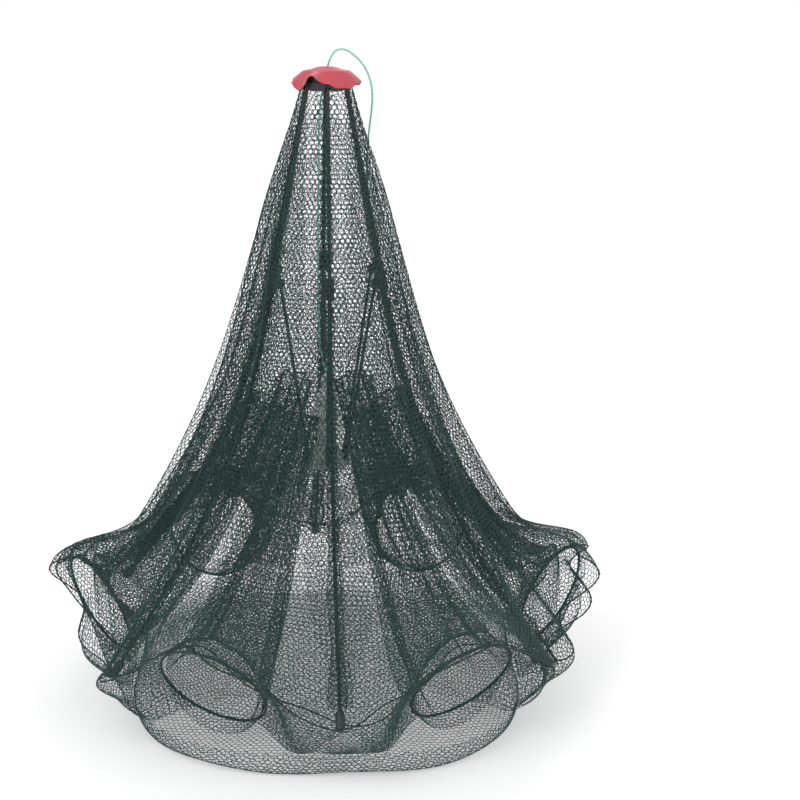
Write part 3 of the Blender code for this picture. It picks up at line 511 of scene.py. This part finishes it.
def vinyl_material():
    """Soft vinyl: even red, a little darker in clouds, with a fine pressed grain and a soft gloss."""
    material, shader, place = new_material("red_vinyl")
    cloud = noise(place, 55.0)
    grain = place.node("ShaderNodeTexVoronoi", {"feature": "F1"}, Vector=place, Scale=1400.0)
    feed(shader, Base_Color=cloud.blend(tuple(c * 0.84 for c in WASHER_COLOR), WASHER_COLOR),
         Roughness=0.46 + cloud * 0.12, Normal=bumped(place, grain, 0.00006, 0.4))
    feed(shader, Sheen_Weight=0.15, Sheen_Roughness=0.4)
    return material


points, faces = closed_sheet(washer_surface(0.0), washer_surface(WASHER_THICKNESS))
washer = add_object("flower_washer_soft", grid_mesh("flower_washer_soft", points, faces[:, ::-1]))
washer.data.materials.append(vinyl_material())
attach(washer, "hub")
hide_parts("flower_washer")
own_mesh(washer)

# Net skirts: dark green knotless netting with 4 mm six-sided cells. Twelve gores hang from the hub,
# six tied along the rods and six between them. Each is as wide as it is when the trap is open, so
# at rest they lap over one another in soft folds. A thin cord is laid into each hem.
CELL = 0.0042
STRAND_RADIUS = 0.000294
UNEVEN = 0.00030
SHORTEST_BAR = 1e-5
ROD_TURN = math.radians(3.0)
PIVOT_HEIGHT = (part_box("hub_wire")[0].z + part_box("hub_wire")[1].z) / 2
PIVOT_RADIUS = 0.0165
ROD_LENGTH = 0.475
ROD_STRAIGHT = 0.130
LEAN_TOP = math.radians(12.0)
LEAN_TIP = math.radians(40.0)
LINE_STATIONS = 401
NET_OFFSET = 0.0038
NET_TOP = 0.003
LAP_FULL = 0.110
LAP_TILT = 0.004
BULGE = 0.15
BULGE_SKEW = 0.8
GORE_HALF_ANGLE = math.radians(15.0)
GORE_ROWS = 96
GORE_COLUMNS = 161
FROM_ROD = {"rib": 0.0, "mid": math.pi / RODS}
GORE_LIFT = {"rib": 0.0, "mid": 0.0022}
GORE_SEED = {"rib": 3, "mid": 7}
GORE_SEED_STEP = 11
FOLD_DEPTH = 0.010
FOLD_GROWTH = 1.2
FOLD_WAVES = 4
FOLD_COUNTS = (1.3, 4.2)  # waves across a gore, at least and at most
FOLD_DRIFT = 1.2  # radians to either side, on the way down
DRIFT_ANGLE = 3.0  # radians from the hub to the hem
SPREAD_ROUNDS = 5
SPREAD_STEP = 0.8  # a little less than the full correction, so that it settles
SHOULDER = 0.365
SHOULDER_LEAD = 0.040
HOOP_RADIUS = 0.042
HOOP_TILT = math.radians(32.0)
HOOP_CENTRE = (0.182, 0.070)
HOOP_MARGIN = 0.002
HOOP_LEAD = 0.020
HEM_CORD = 0.0019
HEM_LAY = 0.010
NET_DARK = (0.010, 0.038, 0.038)
NET_LIGHT = (0.030, 0.098, 0.090)

# A rod's line, summed up at close stations: straight first, then leaning out more and more.
fine = np.linspace(0.0, ROD_LENGTH, LINE_STATIONS)
fine_lean = LEAN_TOP + (LEAN_TIP - LEAN_TOP) * ease((fine - ROD_STRAIGHT) / (ROD_LENGTH - ROD_STRAIGHT))
fine_middle = (fine_lean[1:] + fine_lean[:-1]) / 2
fine_out = np.concatenate(([0.0], np.cumsum(np.sin(fine_middle)))) * fine[1]
fine_down = np.concatenate(([0.0], np.cumsum(np.cos(fine_middle)))) * fine[1]


def rod_line(station, outwards):
    """Radius and height of a line beside a rod: the rod's own, and outwards square to it."""
    lean = np.interp(station, fine, fine_lean)
    radius = PIVOT_RADIUS + np.interp(station, fine, fine_out) + outwards * np.cos(lean)
    height = PIVOT_HEIGHT - np.interp(station, fine, fine_down) + outwards * np.sin(lean)
    return radius, height


def net_line(station):
    """Radius and height of the net on a rod: close against it at the hub, and off it further down."""
    return rod_line(station, NET_OFFSET * (0.5 + 0.5 * ease(station / LAP_FULL)))


def middle_line(station):
    """Radius and height of the net half way between two rods.

    Down to the shoulder it is the net's line on a rod, swollen by a sine of the station. From there
    a cubic curve runs out to the hoop's top, and comes to it from above and inside.
    """
    below = station > SHOULDER
    first = np.searchsorted(station, SHOULDER) - 1
    swell = BULGE * np.sin(math.pi * np.clip(station / ROD_LENGTH, 0.0, 1.0) ** BULGE_SKEW)
    radius, height = net_line(np.minimum(station, SHOULDER))
    radius = radius * (1.0 + np.where(below, swell[first], swell))
    start = np.array((radius[first], height[first]))
    slope = start - np.array((radius[first - 1], height[first - 1]))
    slope = slope / np.linalg.norm(slope)
    up = np.array((math.sin(HOOP_TILT), math.cos(HOOP_TILT)))
    inward = np.array((-math.cos(HOOP_TILT), math.sin(HOOP_TILT)))
    end = np.array(HOOP_CENTRE) + (HOOP_RADIUS + HOOP_MARGIN) * up
    lead = start + slope * SHOULDER_LEAD
    arrive = end + inward * HOOP_LEAD + up * HOOP_LEAD
    past = np.clip((station - SHOULDER) / (ROD_LENGTH - SHOULDER), 0.0, 1.0)
    rest = 1.0 - past
    curve = (start * rest[:, None] ** 3 + lead * 3 * (rest ** 2 * past)[:, None]
             + arrive * 3 * (rest * past ** 2)[:, None] + end * past[:, None] ** 3)
    return np.where(below, curve[:, 0], radius), np.where(below, curve[:, 1], height)


def bell_point(station, offset):
    """Radius and height of the hanging net at stations (rows) and angles from a rod (columns).

    A cosine of the angle takes it from the line on the rod to the line half way to the next.
    """
    on_rod = net_line(station)
    between = middle_line(station)
    share = (1.0 - np.cos(RODS * offset)) / 2.0
    return (on_rod[0][:, None] + (between[0] - on_rod[0])[:, None] * share,
            on_rod[1][:, None] + (between[1] - on_rod[1])[:, None] * share)


def gore_angle(kind, k):
    """Angle of a gore's middle: on rod k, or half way from it to the next."""
    return ROD_TURN + k * math.tau / RODS + FROM_ROD[kind]


def gore_surface(station, kind, seed):
    """A gore: rows down its length, columns across its true width, folded and lapped at rest.

    Across, the angle is spread so that the row's length on the wavy bell equals its flat width,
    2 * tan(15 degrees) * (station + pivot radius). The folds are sines whose counts and places are
    drawn, and one side is tilted out over the next gore.
    """
    rng = np.random.default_rng(seed)
    share = np.linspace(-1.0, 1.0, GORE_COLUMNS)
    half_width = np.tan(GORE_HALF_ANGLE) * (station + PIVOT_RADIUS)
    spread = half_width / net_line(station)[0]
    phases = rng.uniform(0.0, math.tau, FOLD_WAVES)
    counts = rng.uniform(*FOLD_COUNTS, FOLD_WAVES)
    depth = FOLD_DEPTH * (station / ROD_LENGTH) ** FOLD_GROWTH
    wave = np.zeros((len(station), len(share)))
    for phase, count in zip(phases, counts):
        drift = FOLD_DRIFT * np.sin(station / ROD_LENGTH * DRIFT_ANGLE + phase)
        wave += np.sin(count * math.pi * share[None] + phase + drift[:, None]) / count
    wave = wave * depth[:, None]
    lap = ease(station / LAP_FULL)[:, None]
    for _ in range(SPREAD_ROUNDS):
        azimuth = share[None] * spread[:, None]
        radius, height = bell_point(station, FROM_ROD[kind] + azimuth)
        radius = radius + wave + (GORE_LIFT[kind] + LAP_TILT * share[None]) * lap
        grid = np.stack([radius * np.sin(azimuth), -radius * np.cos(azimuth), height], -1)
        step = np.linalg.norm(np.diff(grid, axis=1), axis=2)
        spread = spread * (2 * half_width / step.sum(axis=1)) ** SPREAD_STEP
    length = np.concatenate([np.zeros((len(station), 1)), np.cumsum(step, axis=1)], axis=1)
    length = length / length[:, -1:] * 2.0 - 1.0
    for row in range(len(station)):
        for axis in range(3):
            grid[row, :, axis] = np.interp(share, length[row], grid[row, :, axis])
    return grid


def honeycomb(width, length):
    """Corner places (across, along) of an uneven six-sided mesh and its edges as pairs of corners.

    A brick pattern: columns half a cell apart, each row's corners shifted up and down in turn by a
    quarter side, and every second corner tied to the row below.
    """
    side = CELL / math.sqrt(3.0)
    columns = int(width / (CELL / 2)) + 1
    rows = int(length / (1.5 * side)) + 1
    column, row = np.meshgrid(np.arange(columns), np.arange(rows))
    parity = (column + row) % 2
    rng = np.random.default_rng(columns + rows)
    across = (column - (columns - 1) / 2) * CELL / 2 + rng.normal(0.0, UNEVEN, column.shape)
    shift = np.where(parity == 1, side / 4, -side / 4)
    along = row * 1.5 * side + shift + rng.normal(0.0, UNEVEN, row.shape)
    index = column + row * columns
    level = np.stack([index[:, :-1].ravel(), index[:, 1:].ravel()], 1)
    ties = parity[:-1] == 1
    upright = np.stack([index[:-1][ties], index[1:][ties]], 1)
    return across.ravel(), along.ravel(), np.vstack([level, upright])


def sample_grid(grid, u, v):
    """Points of a grid of points at shares u (columns) and v (rows) from 0 to 1, bilinearly."""
    rows, columns = grid.shape[:2]
    x = np.clip(u, 0.0, 1.0) * (columns - 1)
    y = np.clip(v, 0.0, 1.0) * (rows - 1)
    i = np.minimum(x.astype(int), columns - 2)
    j = np.minimum(y.astype(int), rows - 2)
    fx = (x - i)[:, None]
    fy = (y - j)[:, None]
    return ((grid[j, i] * (1 - fx) + grid[j, i + 1] * fx) * (1 - fy)
            + (grid[j + 1, i] * (1 - fx) + grid[j + 1, i + 1] * fx) * fy)


def edges_inside(edges, inside):
    """The edges that have both ends inside the cut."""
    return edges[inside[edges].all(axis=1)]


def yarn_bars(points, edges, aside=(0.36, 0.48, 0.80)):
    """Three-sided open bars of netting yarn along the edges between points, with a side facing aside."""
    start = points[edges[:, 0]]
    end = points[edges[:, 1]]
    along = end - start
    size = np.linalg.norm(along, axis=1, keepdims=True)
    keep = size[:, 0] > SHORTEST_BAR
    start, end, along = start[keep], end[keep], along[keep] / size[keep]
    side = np.cross(along, aside)
    side /= np.linalg.norm(side, axis=1, keepdims=True)
    up = np.cross(along, side)
    corners = (0.0, math.tau / 3, math.tau * 2 / 3)
    ring = [(side * math.cos(a) + up * math.sin(a)) * STRAND_RADIUS for a in corners]
    bars = np.stack([start + r for r in ring] + [end + r for r in ring], 1)
    base = np.arange(len(bars))[:, None] * bars.shape[1]
    quads = [base + np.array([k, (k + 1) % 3, (k + 1) % 3 + 3, k + 3])[None] for k in range(3)]
    return bars.reshape(-1, 3), np.stack(quads, 1).reshape(-1, 4)


def netting_material():
    """Green polyethylene yarn: darker and lighter patches, and fine filaments."""
    material, shader, place = new_material("green_netting")
    patch = noise(place, 14.0)
    thread = noise(place, 700.0, detail=1.0)
    feed(shader, Base_Color=(patch * 0.7 + thread * 0.3).blend(NET_DARK, NET_LIGHT),
         Roughness=0.45 + thread * 0.2, Normal=bumped(place, thread, 0.0001, 0.5))
    return material


def turned(points, azimuth):
    """Points turned about the trap's axis, from the front towards +X."""
    cosine, sine = math.cos(azimuth), math.sin(azimuth)
    turn = np.array(((cosine, -sine, 0.0), (sine, cosine, 0.0), (0.0, 0.0, 1.0)))
    return points @ turn.T


green_netting = netting_material()
hem_material = fibre_material("green_hem_cord", (0.008, 0.022, 0.021), (0.020, 0.050, 0.046), 0.55)


def yarn_area(points, edges):
    """Area of the flat netting whose yarn is as long as that of the edges, two lengths per cell width."""
    return np.linalg.norm(points[edges[:, 1]] - points[edges[:, 0]], axis=1).sum() * CELL / 2


def net_piece(name, points, edges):
    """A piece of netting from its corners and the edges between them."""
    bar_points, bar_faces = yarn_bars(points, edges)
    piece = add_object(name, grid_mesh(name, bar_points, bar_faces))
    piece.data.materials.append(green_netting)
    return piece


def edge_cord(name, path, body, diameter, strands, lay, sides=4):
    """A laid cord in an edge of the net, on one body."""
    cord_points, cord_faces = laid_cord(path, diameter, strands, lay, sides)
    cord = add_object(name, grid_mesh(name, cord_points, cord_faces))
    cord.data.materials.append(hem_material)
    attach(cord, body)
    return cord


gore_rows = np.linspace(NET_TOP, ROD_LENGTH, GORE_ROWS)
gore_length = ROD_LENGTH - NET_TOP
gore_hem = 2 * math.tan(GORE_HALF_ANGLE) * (ROD_LENGTH + PIVOT_RADIUS)
gores = {}
for k in range(RODS):
    for kind in ("rib", "mid"):
        body = f"{kind}_{k + 1}"
        azimuth = gore_angle(kind, k)
        grid = gore_surface(gore_rows, kind, seed=GORE_SEED_STEP * k + GORE_SEED[kind])
        across, along, edges = honeycomb(gore_hem, gore_length)
        half = math.tan(GORE_HALF_ANGLE) * (along + NET_TOP + PIVOT_RADIUS)
        edges = edges_inside(edges, (np.abs(across) <= half) & (along >= 0.0))
        points = sample_grid(grid, across / half / 2 + 0.5, along / gore_length)
        gores[kind, k] = turned(grid, azimuth)
        gore = net_piece(f"net_gore_{body}", turned(points, azimuth), edges)
        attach(gore, body)
        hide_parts(f"net_{kind}_panel_{k + 1}")
        hem = edge_cord(f"gore_hem_{body}", gores[kind, k][-1][::2], body, HEM_CORD, strands=2,
                        lay=HEM_LAY)

# Rod sleeves: along each rod the skirt's netting is gathered in a loose roll that laces it on, wider
# towards the tip. The roll is left open where the collar is, and ends at the tip cap.
SLEEVE_WIDTH = (0.009, 0.062)
SLEEVE_WIDENING = 1.5
SLEEVE_RADIUS = (0.0020, 0.0090)
SLEEVE_SWELLING = 1.8
SLEEVE_CORE = 0.35
SLEEVE_BORE = 0.0018
SLEEVE_SQUEEZE = 0.8
SLEEVE_TURNS = 1.25
SLEEVE_PARTS = ((0.008, 0.138), (0.163, 0.462))
SLEEVE_SEEDS = (40, 50)
WANDER_DEPTHS = (0.22, 0.16)
WANDER_RATES = (90.0, 55.0)  # radians in a metre


def rod_frames(station):
    """Points on a rod at stations, with the direction square to it in its own plane."""
    radius, height = rod_line(station, 0.0)
    lean = np.interp(station, fine, fine_lean)
    zero = np.zeros_like(radius)
    return np.stack([zero, -radius, height], 1), np.stack([zero, -np.cos(lean), np.sin(lean)], 1)


def sleeve_part(first, last, seed):
    """A spiral roll about a rod, a fifth flatter in the rod's own plane.

    Its radius grows with the turn and along the rod, and wanders in two waves.
    """
    rng = np.random.default_rng(seed)
    across, along, edges = honeycomb(SLEEVE_WIDTH[1], last - first)
    station = np.clip(first + along, first, last)
    share = station / ROD_LENGTH
    width = SLEEVE_WIDTH[0] + (SLEEVE_WIDTH[1] - SLEEVE_WIDTH[0]) * share ** SLEEVE_WIDENING
    edges = edges_inside(edges, np.abs(across) <= width / 2)
    turn = across / width + 0.5
    angle = turn * math.tau * SLEEVE_TURNS
    growth = (SLEEVE_RADIUS[1] - SLEEVE_RADIUS[0]) * share ** SLEEVE_SWELLING
    size = SLEEVE_RADIUS[0] + growth * (SLEEVE_CORE + (1 - SLEEVE_CORE) * turn)
    waves = rng.uniform(0.0, math.tau, 2)
    wander = (1.0 + WANDER_DEPTHS[0] * np.sin(station * WANDER_RATES[0] + waves[0])
              + WANDER_DEPTHS[1] * np.sin(3 * angle + station * WANDER_RATES[1] + waves[1]))
    radius = SLEEVE_BORE + (size - SLEEVE_BORE) * wander
    place, square = rod_frames(station)
    sideways = np.stack([np.sin(angle) * radius, angle * 0.0, angle * 0.0], 1)
    return place + square * (np.cos(angle) * radius * SLEEVE_SQUEEZE)[:, None] + sideways, edges


for k in range(RODS):
    parts = [sleeve_part(first, last, seed=start + k)
             for (first, last), start in zip(SLEEVE_PARTS, SLEEVE_SEEDS)]
    points, edges = join_arrays(parts)
    points = turned(points, gore_angle("rib", k))
    sleeve = net_piece(f"rod_sleeve_{k + 1}", points, edges)
    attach(sleeve, f"rib_{k + 1}")
    area = yarn_area(points, edges)

# Net walls: below each gore the same netting goes on down to the base net, single and slack. Between
# the rods it is cut out round the entrance, and lies in the plane of the entrance's hoop.
BASE_RADIUS = 0.173
BASE_WAVES = (0.013, 0.010)
BASE_EDGE = 0.0225
WALL_HALF_ANGLE = math.radians(22.0)
WALL_ROWS = 40
WALL_SLACK = 0.012
WALL_FOOT_SLACK = 1.3  # times WALL_SLACK
WALL_HANG = (0.35, 0.30)  # shares of its height that its curve runs down from the top, up from the foot
WALL_SEED = {"rib": 1, "mid": 2}
WALL_SEED_STEP = 5
WALL_FOLDS = (2.0, 3.3, 5.1)
WALL_FOLD_DRIFT = 2.0
WALL_FOLD_DEPTH = 0.006
HOOP_EDGE = 1.06  # times the hoop's radius
HOOP_FLARE = 1.9  # times the hoop's radius
HOOPS_NEAR = {"mid": (0.0,), "rib": (-math.pi / RODS, math.pi / RODS)}


def hoop_axes(azimuth=0.0):
    """A hoop's middle at an angle from the front, and its directions across, up and inwards."""
    centre = np.array((0.0, -HOOP_CENTRE[0], HOOP_CENTRE[1]))
    up = np.array((0.0, -math.sin(HOOP_TILT), math.cos(HOOP_TILT)))
    side = np.array((-1.0, 0.0, 0.0))
    return [turned(v, azimuth) for v in (centre, side, up, np.cross(side, up))]


def base_reach(angle):
    """Radius of the base net's edge: 176 mm in front and behind, 150 mm at the sides, 183 mm between."""
    return BASE_RADIUS + BASE_WAVES[0] * np.cos(2.0 * angle) - BASE_WAVES[1] * np.cos(4.0 * angle)


def wall_surface(top_edge, kind, turned_by, seed):
    """A wall: each column is a cubic curve from the gore's edge, out and down, to the base net's edge.

    It keeps between its two upright edges, swings in and out in folds, and is drawn into the plane of
    each hoop beside it: wholly at the cord, and less and less out to HOOP_FLARE times the radius.
    """
    rng = np.random.default_rng(seed)
    share = np.linspace(-1.0, 1.0, top_edge.shape[0])
    level = np.linspace(0.0, 1.0, WALL_ROWS)[:, None]
    azimuth = share * WALL_HALF_ANGLE
    reach = base_reach(azimuth + turned_by)
    end = np.stack([reach * np.sin(azimuth), -reach * np.cos(azimuth), np.full(len(share), BASE_EDGE)], 1)
    outward = top_edge * (1.0, 1.0, 0.0)
    outward = outward / np.linalg.norm(outward, axis=1, keepdims=True)
    fall = (top_edge[:, 2] - BASE_EDGE)[:, None] * (0.0, 0.0, 1.0)
    first = top_edge + outward * WALL_SLACK - fall * WALL_HANG[0]
    second = end + outward * WALL_SLACK * WALL_FOOT_SLACK + fall * WALL_HANG[1]
    down = level[:, None]
    grid = (top_edge * (1 - down) ** 3 + first * 3 * (1 - down) ** 2 * down
            + second * 3 * (1 - down) * down ** 2 + end * down ** 3)
    foot_half = np.abs(end[:, 0])
    limit = foot_half + (np.abs(top_edge[:, 0]) - foot_half) * (1.0 - level)
    middle = grid[:, len(share) // 2, 0][:, None]
    across = grid[..., 0] - middle
    grid[..., 0] = middle + np.sign(across) * np.minimum(np.abs(across), limit)
    phases = rng.uniform(0.0, math.tau, len(WALL_FOLDS))
    swing = sum(np.sin(share * count * math.pi + phase + level * WALL_FOLD_DRIFT) / count
                for count, phase in zip(WALL_FOLDS, phases))
    grid = grid + outward[None] * (swing * np.sin(math.pi * level))[..., None] * WALL_FOLD_DEPTH
    for hoop_turn in HOOPS_NEAR[kind]:
        centre, side, up, inward = hoop_axes(hoop_turn)
        local = grid - centre
        reach = np.hypot(local @ side, local @ up)
        pull = 1.0 - ease((reach / HOOP_RADIUS - HOOP_EDGE) / (HOOP_FLARE - HOOP_EDGE))
        grid = grid - (local @ inward * pull)[..., None] * inward
    return grid


for k in range(RODS):
    for kind in ("rib", "mid"):
        body = f"{kind}_{k + 1}"
        azimuth = gore_angle(kind, k)
        grid = wall_surface(turned(gores[kind, k][-1], -azimuth), kind, azimuth,
                            seed=WALL_SEED_STEP * k + WALL_SEED[kind])
        widths = np.linalg.norm(np.diff(grid, axis=1), axis=2).sum(axis=1)
        widest = widths.max()
        length = np.linalg.norm(np.diff(grid, axis=0), axis=2).sum(axis=0).mean()
        across, along, edges = honeycomb(widest, length)
        v = along / length
        half = np.interp(v, np.linspace(0.0, 1.0, WALL_ROWS), widths) / 2
        inside = (np.abs(across) <= half) & (along >= 0.0)
        points = sample_grid(grid, across / half / 2 + 0.5, v)
        for hoop_turn in HOOPS_NEAR[kind]:
            centre, side, up, _ = hoop_axes(hoop_turn)
            local = points - centre
            inside &= np.hypot(local @ side, local @ up) > HOOP_RADIUS
        edges = edges_inside(edges, inside)
        wall = net_piece(f"net_wall_{body}", turned(points, azimuth), edges)
        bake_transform(wall)
        area = yarn_area(points, edges)

# Base net: a round floor of the same netting with a low wall, lying slack on the ground. The walls
# of the trap are sewn to its edge.
BASE_FLOOR = 0.164
BASE_WALL = 0.026
BASE_FLAT_RADIUS = BASE_FLOOR + BASE_WALL
BASE_LIE = 0.0008
BASE_SLACK = 0.0012
BASE_RIPPLES = 9
RIPPLE_SWIRL = 40  # radians in a metre
FLAT_MIDDLE = 0.1


def base_surface(places):
    """Points of the base from flat places (x, y): flat to the floor's radius, then up the low wall.

    Up the wall the radius follows a sine and the height a power of the way up. The floor is drawn to
    the base's outline, most at its edge, and lifts in ripples away from its middle.
    """
    radius = np.hypot(places[:, 0], places[:, 1])
    angle = np.arctan2(places[:, 0], -places[:, 1])
    past = np.clip((radius - BASE_FLOOR) / (BASE_FLAT_RADIUS - BASE_FLOOR), 0.0, 1.0)
    reach = np.minimum(radius, BASE_FLOOR) + (BASE_RADIUS - BASE_FLOOR) * np.sin(past * math.pi / 2)
    reach = reach * (1.0 - (1.0 - base_reach(angle) / BASE_RADIUS) * ease(radius / BASE_FLOOR))
    ripple = BASE_SLACK * (1 + np.sin(BASE_RIPPLES * angle + RIPPLE_SWIRL * radius))
    ripple = ripple * ease(radius / FLAT_MIDDLE) * (1 - past)
    height = BASE_LIE + ripple + (BASE_EDGE - BASE_LIE) * past ** 1.5
    return np.stack([reach * np.sin(angle), -reach * np.cos(angle), height], 1)


across, along, edges = honeycomb(2 * BASE_FLAT_RADIUS, 2 * BASE_FLAT_RADIUS)
flat_places = np.stack([across, along - BASE_FLAT_RADIUS], 1)
edges = edges_inside(edges, np.hypot(flat_places[:, 0], flat_places[:, 1]) <= BASE_FLAT_RADIUS)
base = net_piece("net_base", base_surface(flat_places), edges)
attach(base, "hub")
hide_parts("net_bottom")

# Entrances: each has a hoop of stiff laid cord, and a funnel of netting that leads from it up and in
# to a narrow throat. The funnel is cut as a straight tube and gathers towards the throat.
HOOP_CORD = 0.0026
HOOP_LAY = 0.01056
HOOP_RINGS = 100
THROAT_RADIUS = 0.015
THROAT_PLACE = (0.048, 0.240)
THROAT_CORD = 0.0018
THROAT_LAY = 0.006
FUNNEL_REACH = 0.050
FUNNEL_DIP = 0.024
FUNNEL_FLAT = (0.300, 0.262)
FUNNEL_ROWS = 60
FUNNEL_COLUMNS = 145
FUNNEL_MARGIN = 0.0015
FUNNEL_SEED = 17
NARROWING = (0.1, 0.9)  # the stretch of ease() that the radius follows
PLEATS = ((7, 1.0, 1.5), (12, 0.7, 0.0), (5, 0.5, -2.0))  # how many, how deep, twist in radians
PLEAT_DEPTHS = (0.10, 0.06)
PLEAT_GROWTHS = (4.0, 1.3)
PLEAT_DRAW = 0.9


def funnel_surface(seed):
    """A pleated tube: rings on a curve from the hoop to the throat, radius * (1 + pleats).

    A pleat is a sine round the ring, as PLEATS says, and where it starts is drawn. The pleats deepen
    along the funnel and draw its radius in.
    """
    rng = np.random.default_rng(seed)
    centre, side, up, inward = hoop_axes()
    throat = np.array((0.0, -THROAT_PLACE[0], THROAT_PLACE[1]))
    bend = centre + inward * FUNNEL_REACH - up * FUNNEL_DIP
    share = np.linspace(0.0, 1.0, FUNNEL_ROWS)[:, None]
    place = centre * (1 - share) ** 2 + bend * 2 * (1 - share) * share + throat * share ** 2
    along = (bend - centre) * (1 - share) + (throat - bend) * share
    along = along / np.linalg.norm(along, axis=1, keepdims=True)
    square = np.cross(along, side)
    mouth = HOOP_RADIUS - FUNNEL_MARGIN
    begin, end = NARROWING
    eased = (ease(share * (end - begin) + begin) - ease(begin)) / (ease(end) - ease(begin))
    radius = mouth + (THROAT_RADIUS - mouth) * eased
    turn = np.linspace(0.0, math.tau, FUNNEL_COLUMNS)[None]
    phases = rng.uniform(0.0, math.tau, len(PLEATS))
    pleat = sum(size * np.sin(count * turn + phase + twist * share)
                for (count, size, twist), phase in zip(PLEATS, phases))
    depth = sum(size * ease(share * growth) for size, growth in zip(PLEAT_DEPTHS, PLEAT_GROWTHS))
    reach = radius * (1 - depth * PLEAT_DRAW + depth * pleat)
    return (place[:, None] + side * (np.cos(turn) * reach)[..., None]
            + square[:, None] * (np.sin(turn) * reach)[..., None])


centre, side, up, _ = hoop_axes()
turn = np.arange(HOOP_RINGS) * math.tau / HOOP_RINGS
ring = centre + np.outer(np.cos(turn), side) * HOOP_RADIUS + np.outer(np.sin(turn), up) * HOOP_RADIUS
ring = np.vstack([ring, ring[:1]])
for k in range(RODS):
    azimuth = gore_angle("mid", k)
    body = f"mid_{k + 1}"
    hoop = edge_cord(f"entrance_hoop_cord_{k + 1}", turned(ring, azimuth), body, HOOP_CORD, strands=3,
                     lay=HOOP_LAY, sides=5)
    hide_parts(f"entrance_hoop_{k + 1}")
    grid = turned(funnel_surface(FUNNEL_SEED + k), azimuth)
    across, along, edges = honeycomb(*FUNNEL_FLAT)
    edges = edges_inside(edges, along >= 0.0)
    points = sample_grid(grid, across / FUNNEL_FLAT[0] + 0.5, along / FUNNEL_FLAT[1])
    funnel = net_piece(f"net_funnel_{k + 1}", points, edges)
    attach(funnel, body)
    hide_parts(f"funnel_{k + 1}")
    throat = edge_cord(f"throat_cord_{k + 1}", grid[-1], body, THROAT_CORD, strands=2,
                       lay=THROAT_LAY)
    area = yarn_area(points, edges)
